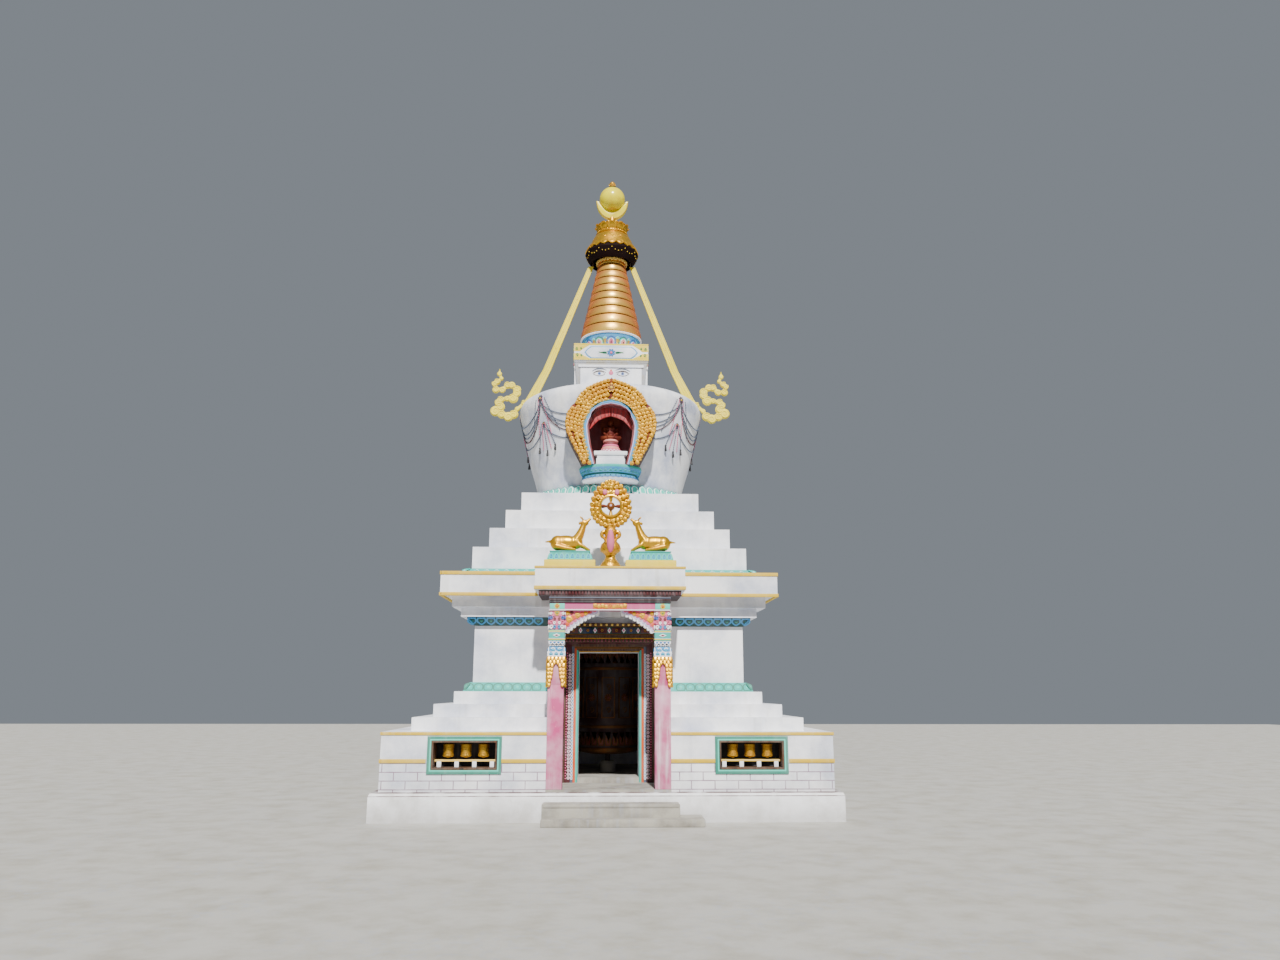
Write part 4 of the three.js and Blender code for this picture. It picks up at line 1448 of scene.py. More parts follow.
class Carving:
    """Small ornaments that several parts share; each faces -Y with its foot at the origin."""

    @staticmethod
    def scroll(size: float, thick: float, coat: str, turns: float = 1.25, count: int = 12) -> Piece:
        """Model a leafy scroll: a rod that closes in on itself and thins out.

        Args:
            size: Its width.
            thick: Half the rod's thickness.
            coat: Its finish.
            turns: How far it curls.
            count: Points along it.

        Returns:
            The scroll, standing on the origin, curling to the right.
        """
        path = spiral(0, size / 2, size / 2 - thick, thick * 0.8, -100, -100 + 360 * turns, count)
        taper = [1.0 - 0.55 * i / (count - 1) for i in range(count)]
        return Piece.tube([(x, -thick * 0.5, z) for x, z in path], thick, 1, taper).coat(coat)

    @staticmethod
    def leaf(width: float, height: float, thick: float, coat: str) -> Piece:
        """Model a plump leaf with a round tip.

        Args:
            width: Its width.
            height: Its height.
            thick: How far it stands out.
            coat: Its finish.

        Returns:
            The leaf.
        """
        half = width / 2
        side = [(half * 0.7, 0), (half, height * 0.3), (half * 0.95, height * 0.6), (half * 0.6, height * 0.87),
            (0, height)]
        return Piece.plate(mirrored(side), -thick, thick * 0.4, width * 0.2, 3).coat(coat)

    @staticmethod
    def knob(size: float, coat: str) -> Piece:
        """Model a plump leaf of beaten gold that curls into a scroll; its middle is at the origin.

        Args:
            size: Its width and height.
            coat: Its finish.

        Returns:
            The knob.
        """
        leaf = Carving.leaf(size, size, size * 0.34, coat).at(move(0, 0, -size / 2))
        curl = Carving.scroll(size * 0.7, size * 0.11, coat, 1.1, 10).at(move(0, -size * 0.33, -size * 0.36))
        return Piece.join([leaf, curl])

    @staticmethod
    def flower(radius: float, coats: Sequence[str], count: int = 8) -> Piece:
        """Model a round flower of petals about a boss; its middle is at the origin.

        Args:
            radius: Its radius.
            coats: Finishes of its petals' rims, their fields and the boss.
            count: How many petals it has.

        Returns:
            The flower.
        """
        petal = Lotus.petal(radius * 5.0 / count, radius * 0.8, radius * 0.14, (coats[0], coats[1], coats[1]), 0.4)
        spots = []
        for i in range(count):
            a = math.tau * (i + 0.5) / count
            out = (math.sin(a), 0, math.cos(a))
            spots.append(stand((out[0] * radius * 0.2, 0, out[2] * radius * 0.2), out))
        boss = Piece.ball((0, -radius * 0.12, 0), (radius * 0.3, radius * 0.18, radius * 0.3), 12, 8)
        return Piece.join([petal.times(spots), boss.coat(coats[2])])

    @staticmethod
    def lozenge(wide: float, tall: float, thick: float, coats: Sequence[str]) -> Piece:
        """Model a diamond in a pale diamond; its middle is at the origin.

        Args:
            wide: Half its width.
            tall: Half its height.
            thick: How far it stands out.
            coats: Finishes of the outer and the inner diamond.

        Returns:
            The lozenge.
        """
        parts = [Piece.plate([(wide * k, 0), (0, tall * k), (-wide * k, 0), (0, -tall * k)], near, 0.4 * thick,
            thick * 0.2).coat(coat) for k, near, coat in ((1.0, -thick * 0.6, coats[0]), (0.55, -thick, coats[1]))]
        return Piece.join(parts)


@dataclass
class Porch:
    """The two pillars, the beam and scalloped bracket between them, and the roof they carry."""

    inner: float = 0.69
    outer: float = 0.93
    front: float = -3.42
    back: float = -3.18
    levels: Table = ((0.455, 1.96, 0.0, "pillar"), (1.955, 2.385, -0.002, "pillar"), (2.38, 2.535, -0.008, "sky"),
        (2.53, 2.625, -0.022, "ink"), (2.622, 2.79, 0.0, "aqua"), (2.788, 3.091, -0.01, "rose"))
    leaf_rows: Table = ((2.388, (0.0, 0.058, 0.112)), (2.34, (0.028, 0.086)), (2.292, (0.06, 0.112)),
        (2.236, (0.066, 0.112)), (2.18, (0.072, 0.112)), (2.124, (0.08, 0.112)), (2.066, (0.098,)), (2.012, (0.102,)))
    curls: Table = ((0.085, 0.013, "white", 0.078, 2.792), (0.07, 0.011, "sky", 0.03, 2.8),
        (0.08, 0.012, "rose", 0.085, 2.868), (0.062, 0.01, "white", 0.034, 2.865), (0.075, 0.012, "blue", 0.082, 2.936),
        (0.06, 0.01, "red", 0.03, 2.925), (0.06, 0.01, "white", 0.088, 3.008), (0.05, 0.009, "rose", 0.038, 2.985))
    leaves: Table = ((0.105, "gold_paint", 0.625, 2.955), (0.085, "orange", 0.555, 2.985),
        (0.09, "gold_paint", 0.5, 3.015), (0.07, "orange", 0.43, 3.03), (0.066, "gold_paint", 0.375, 3.045),
        (0.07, "gold_paint", 0.65, 3.045), (0.06, "red", 0.59, 3.05), (0.045, "orange", 0.32, 3.062),
        (0.06, "orange", 0.655, 2.88))
    stripes: Table = ((2.64, 2.652, "yellow"), (2.656, 2.662, "white"), (2.752, 2.758, "white"),
        (2.762, 2.776, "yellow"))
    scallops: Outline = ((0.668, 2.752), (0.622, 2.795), (0.575, 2.833), (0.525, 2.872), (0.472, 2.909), (0.416, 2.944),
        (0.357, 2.978), (0.296, 3.008), (0.232, 3.034), (0.166, 3.056))
    layers: Table = ((0.0, -3.362, -3.238, "white"), (0.024, -3.371, -3.36, "lilac"), (0.05, -3.38, -3.37, "rose"))

    def shaft(self) -> Piece:
        """Model the blocks of one pillar about its own axis.

        Returns:
            The shaft, without its carving.
        """
        half = (self.outer - self.inner) / 2
        return Piece.join([Piece.bar((-half - grow, -half - grow, low), (half + grow, half + grow, high), coat, 0.008)
            for low, high, grow, coat in self.levels])

    def _pendants(self) -> list[Piece]:
        """Model the gilt leaves that hang in two strings down one face, a little wider than the shaft.

        Returns:
            The leaves of one face.
        """
        spots = []
        for z, xs in self.leaf_rows:
            for x in sorted({side * x for x in xs for side in SIDES}):
                spots.append(stand((x, -0.002 - 0.03 * (2.39 - z) * 0.2, z), (0, -0.12, -1), (0, -1, 0.25)))
        return [Carving.leaf(0.06, 0.085, 0.017, "bright_gilt").times(spots)]

    @staticmethod
    def _collar() -> list[Piece]:
        """Model the cloud collar, the beaded neck and the scallops under the block.

        Returns:
            Its parts on one face.
        """
        cloud = [stand((x, -0.004, 2.388)) for x in (-0.08, 0.0, 0.08)] + [stand((x, 0.004, 2.445))
            for x in (-0.05, 0.05)]
        curls = [move(-0.085, -0.004, 2.455), move(0.085, -0.004, 2.455) @ FLIP, move(0, -0.002, 2.47)]
        beads = [move(-0.093 + 0.0266 * i, 0.016, 2.553) for i in range(8)]
        scallops = [stand((-0.09 + 0.06 * i, 0.006, 2.622), (0, 0, -1)) for i in range(4)]
        return [Lotus.petal(0.1, 0.085, 0.016, ("white", "sky", "mint"), 0.3).times(cloud),
            Carving.scroll(0.058, 0.009, "sky").times(curls),
            Piece.ball((0, 0, 0), (0.01, 0.01, 0.01), 8, 6).coat("white").times(beads),
            Lotus.petal(0.06, 0.054, 0.012, ("white", "blue", "sky"), 0.3).times(scallops)]

    def _block(self) -> list[Piece]:
        """Model the yellow lines and the lozenge on the turquoise block.

        Returns:
            Their parts on one face.
        """
        parts = [Piece.bar((-0.122, -0.006, low), (0.122, 0.004, high), coat, 0.002)
            for low, high, coat in self.stripes]
        mark = Carving.lozenge(0.06, 0.026, 0.008, ("white", "red"))
        return [*parts, mark.at(move(0, -0.003, 2.707))]

    def _capital(self) -> list[Piece]:
        """Model the many-coloured scrolls of the capital, mirrored about the middle.

        Returns:
            The scrolls of one face.
        """
        parts = [Carving.scroll(size, thick, coat).times([move(x, 0.002, z), FLIP @ move(x, 0.002, z)])
            for size, thick, coat, x, z in self.curls]
        parts += [Carving.flower(0.045, ("yellow", "gold_paint", "green")).at(move(0, 0.0, 3.045)),
            Piece.bar((-0.122, -0.008, 3.078), (0.122, 0.004, 3.091), "white", 0.003)]
        return parts

    def pillars(self) -> None:
        """Build both pillars with their four carved faces."""
        shaft = self.shaft()
        panel = Piece.join(self._pendants() + self._collar() + self._block() + self._capital())
        half = (self.outer - self.inner) / 2
        faces = panel.times([turn(quarter) @ move(0, -half, 0) for quarter in range(4)])
        pillar = Piece.join([shaft, faces])
        middle = (self.inner + self.outer) / 2
        for name, sign in LEFT_RIGHT:
            copy = pillar.copies([move(sign * middle, (self.front + self.back) / 2, 0)])[0]
            copy.fit(f"carved_pillar_{name}", "pillar_paint", f"pillar_{name}")
        pillar.drop()

    def beam(self) -> None:
        """Carve the beam's gilt middle, the blossoms at its ends and its white lower edge."""
        dress_nodes("beam", "porch_beam")
        parts = [Piece.bar((-0.93, -3.442, 3.086), (0.93, -3.428, 3.1), "white"),
            Piece.bar((-0.262, -3.436, 3.104), (0.262, -3.426, 3.192), "orange")]
        spots = [move(0.06 + 0.056 * i, -3.434, 3.142 + 0.012 * (i % 2)) @ Matrix.Rotation(1.1 * i, 4, "Y")
            @ Matrix.Scale(0.5, 4, (0, 1, 0)) for i in range(4)]
        parts += [Carving.knob(0.062, "gold_paint").times(spots + [FLIP @ spot for spot in spots]),
            Carving.flower(0.036, ("gold_paint", "orange", "gold_paint")).at(move(0, -3.438, 3.148))]
        for sign in SIDES:
            parts += [Piece.bar((sign * 0.81 - 0.115, -3.4365, 3.104), (sign * 0.81 + 0.115, -3.426, 3.192), "mint"),
                Carving.flower(0.046, ("yellow", "gold_paint", "orange")).at(move(sign * 0.81, -3.438, 3.148))]
        Piece.join(parts).fit("beam_carving", "bracket_carving")

    def bracket(self) -> None:
        """Cut the scalloped bracket in layers and lay its leafy scrolls on it."""
        for name, sign in LEFT_RIGHT:
            parts = []
            for grow, near, far, coat in self.layers:
                lobes: list[tuple[float, float]] = []
                for (ax, az), (bx, bz) in zip(self.scallops, self.scallops[1:]):
                    radius, slope = math.hypot(bx - ax, bz - az) / 2, math.degrees(math.atan2(az - bz, ax - bx))
                    lobes += arc((ax + bx) / 2 + grow * 0.75, (az + bz) / 2 + grow, radius, slope, slope - 180, 6)
                inside = [(x, z) for x, z in lobes if x < 0.689 and z < 3.088]
                outline = [(0.69, 3.091), (0.69, 2.752 + grow * 1.2)] + inside + [(inside[-1][0] - 0.004, 3.091)]
                parts.append(Piece.plate([(sign * x, z) for x, z in outline], near, far, 0.005).coat(coat))
            for size, coat, x, z in self.leaves:
                leaf = move(sign * x, -3.378, z) @ Matrix.Scale(-sign, 4, (1, 0, 0)) @ Matrix.Rotation(-0.7, 4, "Y")
                parts.append(Carving.knob(size, coat).at(leaf @ Matrix.Scale(0.5, 4, (0, 1, 0))))
            piece = Piece.join(parts)
            piece.fit(f"scalloped_bracket_{name}", "bracket_carving", *(("arch_bracket",) if sign < 0 else ()))

    def frieze(self) -> None:
        """Lay the dark bands and the row of red dentils under the porch roof, in dark tones that paint the roof's shade
        on them.
        """
        # Dark maroon, ink and slate: partly the frieze's own colours, partly painted shade under the roof.
        dress_nodes("maroon_dark", "porch_frieze")
        dress_nodes("slope", "porch_roof")
        parts = [Piece.bar((-0.938, -3.455, low), (0.938, -3.44, high), coat)
            for low, high, coat in ((3.204, 3.226, "ink"), (3.232, 3.262, "maroon_dark"), (3.27, 3.286, "slate"))]
        dentil = Piece.bar((-0.017, -0.016, 3.322), (0.017, 0.006, 3.378), "maroon", 0.005)
        parts += [dentil.times([move(-1.075 + 0.05 * i, -3.412, 0) for i in range(44)]),
            Piece.bar((-1.106, -3.424, 3.388), (1.106, -3.405, 3.397), "ink", 0.003)]
        Piece.join(parts).fit("frieze_mouldings", "maroon_paint")

    def build(self) -> None:
        """Build the whole porch."""
        self.pillars()
        self.beam()
        self.bracket()
        self.frieze()


@dataclass
class RoofGroup:
    """The gilded wheel on its vase, and the two deer beside it."""

    wheel_z: float = 4.72
    hub_z: float = 4.745
    y: float = -3.25
    limbs: Table = (("ear", 0.022, 1, ((-0.43, 0.03, 4.47), (-0.475, 0.05, 4.475), (-0.51, 0.055, 4.455)),
        (1, 0.9, 0.5)), ("horn", 0.016, 1, ((-0.425, 0.02, 4.5), (-0.45, 0.035, 4.545), (-0.49, 0.045, 4.575)),
        (1, 0.9, 0.6)), ("foreleg", 0.026, 1, ((-0.5, 0.06, 4.13), (-0.42, 0.07, 4.09), (-0.35, 0.07, 4.045),
        (-0.32, 0.07, 4.028)), (1.5, 1.0, 0.8, 0.75)),
        ("hindleg", 0.032, 1, ((-0.86, 0.085, 4.1), (-0.72, 0.09, 4.065), (-0.6, 0.085, 4.045), (-0.54, 0.08, 4.035)),
        (1.6, 1.2, 0.85, 0.65)), ("neck", 0.092, 0,
        ((-0.56, 0, 4.17), (-0.49, 0, 4.27), (-0.45, 0, 4.37), (-0.415, 0, 4.47)), (1, 0.8, 0.62, 0.5)),
        ("muzzle", 0.036, 0, ((-0.4, 0, 4.48), (-0.36, 0, 4.51), (-0.315, 0, 4.545)), (1.1, 0.8, 0.6)),
        ("tail", 0.026, 0, ((-0.92, 0, 4.17), (-0.97, 0, 4.172), (-1.03, 0, 4.165)), (1.2, 0.8, 0.4)))
    ring: Outline = ((0.15, -0.052), (0.166, -0.062), (0.184, -0.056), (0.19, 0.0), (0.184, 0.056), (0.166, 0.062),
        (0.15, 0.052), (0.146, 0.0), (0.15, -0.052))
    hub: Outline = ((0, -0.075), (0.03, -0.07), (0.045, -0.055), (0.062, -0.05), (0.066, 0.0), (0.062, 0.05),
        (0.045, 0.055), (0.03, 0.07), (0, 0.075))
    belly: Outline = ((0, 3.764), (0.163, 3.766), (0.16, 3.8), (0.128, 3.85), (0.088, 3.9), (0.078, 3.95), (0.1, 3.985),
        (0.158, 4.02), (0.166, 4.07), (0.148, 4.13), (0.1, 4.18), (0.075, 4.22), (0.09, 4.27), (0.11, 4.32),
        (0.095, 4.37), (0.06, 4.41), (0.0, 4.42))
    drop: Outline = ((0, 0.0), (0.03, 0.02), (0.055, 0.09), (0.06, 0.17), (0.048, 0.27), (0.03, 0.34), (0, 0.37))
    lumps: Table = (("body", -0.7, 4.155, (0.232, 0.104, 0.118)), ("haunch", -0.83, 4.15, (0.12, 0.112, 0.122)),
        ("chest", -0.54, 4.16, (0.108, 0.09, 0.108)), ("head", -0.405, 4.475, (0.064, 0.044, 0.05)))
    pedestal: Table = ((0.345, 0.125, 3.87), (0.338, 0.122, 3.9), (0.3, 0.112, 3.99), (0.318, 0.122, 4.0),
        (0.318, 0.122, 4.014))

    def _egg(self, grow: float, count: int = 48) -> list[tuple[float, float]]:
        """Return the wheel's egg-shaped outline, pointed at the top, grown or shrunk.

        Args:
            grow: How far outside the wheel's own edge it runs.
            count: How many points it has.

        Returns:
            The points, from the right side upwards.
        """
        points = []
        for i in range(count):
            a = math.tau * i / count
            rise = math.sin(a)
            tall = (0.46 if rise > 0 else 0.335) + grow
            narrow = 1.0 - 0.22 * max(rise, 0.0) ** 3
            points.append(((0.335 + grow) * math.cos(a) * narrow, self.wheel_z + tall * rise))
        return points

    def _row(self, grow: float, count: int, proud: float, shift: float) -> list[Matrix]:
        """Place ornaments along the egg, on its front and on its back.

        Args:
            grow: Distance outside the egg's outline.
            count: How many go round.
            proud: How far each stands off the wheel's middle plane.
            shift: Share of a step by which the row is turned.

        Returns:
            One matrix for each ornament.
        """
        egg = self._egg(grow, count * 4)
        places = []
        for i in range(count):
            k = int((i + shift) * 4) % len(egg)
            (bx, bz), (x, z), (nx, nz) = egg[k - 1], egg[k], egg[(k + 1) % len(egg)]
            for side in SIDES:
                places.append(stand((x, self.y + side * proud, z), (nz - bz, 0, -(nx - bx)), (0, side, 0)))
        return places

    def wheel(self) -> Piece:
        """Model the wheel: an egg of curling gilt leaves round a ring, four spokes and a hub.

        Returns:
            The wheel in its place.
        """
        y, upright = self.y, move(0, self.y, self.hub_z) @ Matrix.Rotation(math.pi / 2, 4, "X")
        plate = Piece.plate(self._egg(-0.022), y - 0.03, y + 0.03, 0.01)
        plate.cut(Piece.plate(arc(0, self.hub_z, 0.152, 0, 352.5, 48), y - 0.2, y + 0.2))
        parts = [plate.coat("gilt")]
        for size, grow, count, proud, shift in ((0.084, -0.036, 27, 0.024, 0.0), (0.082, -0.1, 20, 0.036, 0.5)):
            parts.append(Carving.knob(size, "gilt").times(self._row(grow, count, proud, shift)))
        crown = [stand((x, y + side * 0.036, z), (x, 0, 1), (0, side, 0)) for x, z in ((0, 5.03), (0.0, 4.965))
            for side in SIDES]
        parts.append(Carving.knob(0.082, "gilt").times(crown))
        ring = Piece.turned(self.ring, 48)
        parts.append(ring.at(upright).coat("gilt_smooth"))
        for quarter in range(4):
            a = math.pi / 2 * quarter
            path = [(r * math.cos(a), y, self.hub_z + r * math.sin(a)) for r in (0.04, 0.07, 0.11, 0.16)]
            parts.append(Piece.tube(path, 0.026, 3, (0.8, 0.7, 1.1, 1.3)).coat(("copper_dark", "brass")[quarter % 2]))
        hub = Piece.turned(self.hub, 32)
        parts += [hub.at(upright).coat("bronze"), Piece.ball((0, y, self.hub_z), (0.034, 0.085, 0.034)).coat("lilac")]
        for sign in SIDES:
            parts.append(Piece.ball((sign * 0.095, y - 0.05, 4.965), (0.04, 0.03, 0.048), 12, 8).coat("rose"))
        return Piece.join(parts)

    def vase(self) -> Piece:
        """Model the vase under the wheel, with its scroll handles and pink drops.

        Returns:
            The vase in its place.
        """
        y = self.y
        body = Piece.turned(self.belly, 40, (0, y))
        parts = [body.coat("gilt")]
        for sign in SIDES:
            path = [(x * sign, y, z) for x, z in ((0.05, 4.35), (0.11, 4.345), (0.148, 4.3), (0.13, 4.245),
                (0.085, 4.235), (0.075, 4.16))]
            parts.append(Piece.tube(path, 0.034, 3, (0.7, 1.0, 1.1, 0.9, 0.6, 0.6), 6).coat("gilt"))
        petal = Lotus.petal(0.095, 0.09, 0.02, ("gilt", "gilt", "gilt"), 0.4)
        parts.append(petal.times([move(0, y, 0) @ place for place in ring_places(10, 0.13, 3.8, 0.5)]))
        drop = Piece.turned(self.drop, 20).coat("rose")
        parts.append(drop.times([move(0, y + side * 0.145, 3.985) @ Matrix.Rotation(-side * 0.22, 4, "X")
            for side in SIDES]))
        return Piece.join(parts)

    def deer(self) -> Piece:
        """Model the left deer, lying with its head raised to the wheel, on its lotus base.

        Returns:
            The deer in its place.
        """
        y = self.y
        lumps = [Piece.ball((x, y, z), radii) for _, x, z, radii in self.lumps]
        for _, radius, paired, path, taper in self.limbs:
            for side in SIDES if paired else (0,):
                lumps.append(Piece.tube([(x, y + side * w, z) for x, w, z in path], radius, 2, taper))
        body = Piece.moulded(lumps, 0.0085, 7).coat("bright_gilt")
        low = Piece.bar((-1.03, y - 0.15, 3.766), (-0.236, y + 0.15, 3.872), "yellow", 0.01)
        pedestal = Piece.tower(self.pedestal, (-0.633, y), 0.004)
        pedestal.coat("aqua")
        spots = []
        for side in SIDES:
            spots += [stand((-0.633 + 0.083 * (i - 3.5), y + side * 0.125, 3.878), (0, -side * 0.12, 1),
                (0, side, 0.12)) for i in range(8)]
            spots += [stand((-0.633 + side * 0.345, y - 0.083 + 0.083 * i, 3.878), (-side * 0.3, 0, 1), (side, 0, 0.3))
                for i in range(3)]
        petals = Lotus.petal(0.078, 0.105, 0.014, ("mint", "sky", "aqua"), 0.35).times(spots)
        return Piece.join([body, low, pedestal, petals])

    def build(self) -> None:
        """Build the wheel and both deer."""
        Piece.join([self.wheel(), self.vase()]).fit("gilt_wheel_and_vase", "gilding", "gilded_wheel")
        left = self.deer()
        right = left.copies([FLIP])[0]
        for piece, name in ((left, "left"), (right, "right")):
            piece.fit(f"gilt_deer_{name}", "gilding", f"deer_{name}")


@dataclass
class Dome:
    """The bell-shaped dome on its lotus ring, hung with strings of beads."""

    profile: Outline = ((1.375, 5.445), (1.398, 5.63), (1.452, 5.83), (1.518, 6.03), (1.556, 6.18), (1.59, 6.33),
        (1.627, 6.49), (1.66, 6.64), (1.695, 6.79), (1.725, 6.93), (1.75, 7.03), (1.768, 7.12), (1.7675, 7.165),
        (1.765, 7.2), (1.752, 7.238), (1.735, 7.27), (1.7, 7.3), (1.66, 7.325), (1.56, 7.36), (1.45, 7.39),
        (1.27, 7.425), (1.1, 7.455), (0.87, 7.49), (0.64, 7.52))
    foot: Outline = ((0, 5.302), (1.462, 5.302), (1.462, 5.335), (1.4, 5.425))
    rosettes: tuple[float, ...] = (0.0, 47.4, 92.0, 136.0, 180.0, 224.0, 268.0, 312.6, 360.0)
    hidden: float = 27.0
    swags: Table = ((7.15, 0.375, "slate"), (7.145, 0.515, "slate"), (7.13, 0.655, "maroon"), (7.14, 0.585, "slate"),
        (6.7, 0.355, "slate"))
    tassel: Outline = ((0, 0), (0.012, -0.004), (0.018, -0.022), (0.011, -0.032), (0.017, -0.055), (0.023, -0.115),
        (0.015, -0.12), (0, -0.118))

    def spot(self, azimuth: float, z: float, proud: float = 0.01) -> tuple[float, float, float]:
        """Return a point on the dome's skin, the azimuth in degrees from the front.

        Args:
            azimuth: Its angle.
            z: Its height.
            proud: Its distance off the skin.

        Returns:
            The point.
        """
        radius = self.profile[-1][0]
        for (ra, za), (rb, zb) in zip(self.profile, self.profile[1:]):
            if za <= z <= zb:
                radius = ra + (rb - ra) * (z - za) / (zb - za)
                break
        a = math.radians(azimuth)
        return (radius + proud) * math.sin(a), -(radius + proud) * math.cos(a), z

    def _shown(self, azimuth: float) -> bool:
        """Tell whether a place on the dome is clear of the niche's frame."""
        return min(azimuth % 360, -azimuth % 360) > self.hidden

    def _swag(self, first: float, last: float, top: float, sag: float) -> list[tuple[float, float, float]]:
        """Return evenly spaced points of one hanging string, without those behind the niche frame.

        Args:
            first: Azimuth of its left end.
            last: Azimuth of its right end.
            top: Height of its ends.
            sag: How far its middle hangs below them.

        Returns:
            The points that show.
        """
        count = int((last - first) * 1.6)
        spots = [(first + (last - first) * i / count, 1 - (2 * i / count - 1) ** 2) for i in range(count + 1)]
        return [self.spot(azimuth, top - sag * rise ** 0.62) for azimuth, rise in spots if self._shown(azimuth)]

    def _strings(self) -> list[tuple[list[tuple[float, float, float]], str]]:
        """Lay out every string of beads with the colour of its beads.

        Returns:
            The points and the finish of each string.
        """
        strings = [(self._swag(first, last, top, sag), coat) for first, last in zip(self.rosettes, self.rosettes[1:])
            for top, sag, coat in self.swags]
        shares = [i / 14 for i in range(15)]
        for node in self.rosettes[1:-1]:
            for side in SIDES:
                for reach, top, drop in ((8.0, 6.69, 0.4), (4.0, 6.69, 0.46), (13.0, 7.14, 0.62), (6.0, 7.14, 0.66)):
                    if self._shown(node + side * reach):
                        strings.append(([self.spot(node + side * reach * (0.3 + 0.7 * t), top - drop * t)
                            for t in shares], "rose" if reach < 7 else "slate"))
            strings.append(([self.spot(node, 6.69 - 0.48 * t) for t in shares], "slate"))
        return [(points, coat) for points, coat in strings if len(points) > 3]

    def garlands(self) -> Piece:
        """Model the strings of beads, their rosettes and tassels.

        Returns:
            All that hangs on the dome.
        """
        parts = []
        bead = Piece.ball((0, 0, 0), (0.0105, 0.0105, 0.0105), 6, 4)
        for points, coat in self._strings():
            parts += [Piece.tube(points, 0.003, 1).coat(coat),
                Piece.join(bead.copies([move(*point) for point in points])).coat(coat)]
        bead.drop()
        tassel = Piece.turned(self.tassel, 12)
        places: dict[str, list[Matrix]] = {"rose": [], "knot": [], "tassel": []}
        for node in self.rosettes[1:-1]:
            out = (math.sin(math.radians(node)), -math.cos(math.radians(node)), 0.0)
            places["rose"].append(stand(self.spot(node, 7.155, 0.004), (0, 0, 1), out))
            places["knot"].append(stand(self.spot(node, 6.695, 0.004), (0, 0, 1), out))
            places["tassel"].append(move(*self.spot(node, 6.21)))
            for side in SIDES:
                places["tassel"].append(move(*self.spot(node + side * 8, 6.29)))
        for name, master in (("rose", Carving.flower(0.07, ("maroon", "slate", "ochre"))),
                ("knot", Carving.flower(0.045, ("ink", "maroon", "ochre"))), ("tassel", tassel.coat("ink"))):
            parts.append(master.times(places[name]))
        return Piece.join(parts)

    def build(self) -> None:
        """Turn the dome, cut its niche, and hang its strings."""
        shell = Piece.turned(list(self.foot) + list(self.profile) + [(0, 7.52)], 112)
        shell.cut(Piece.plate([(x * 1.02, z) for x, z in mirrored(DomeNiche.opening)], -2.2, -1.12))
        shell.coat("dome", "teal")
        shell.patch(1, lambda at, facing: at.z < 5.44 and facing.z > -0.5)
        shell.fit("dome_shell", "whitewash", "dome")
        petal = Lotus.petal(0.15, 0.19, 0.018, ("aqua", "white", "mint"), 0.18, 0.1)
        petal.times(ring_places(62, 1.5, 5.316, 0.36)).fit("dome_foot_petals", "lotus_aqua")
        self.garlands().fit("dome_garlands", "bracket_carving")


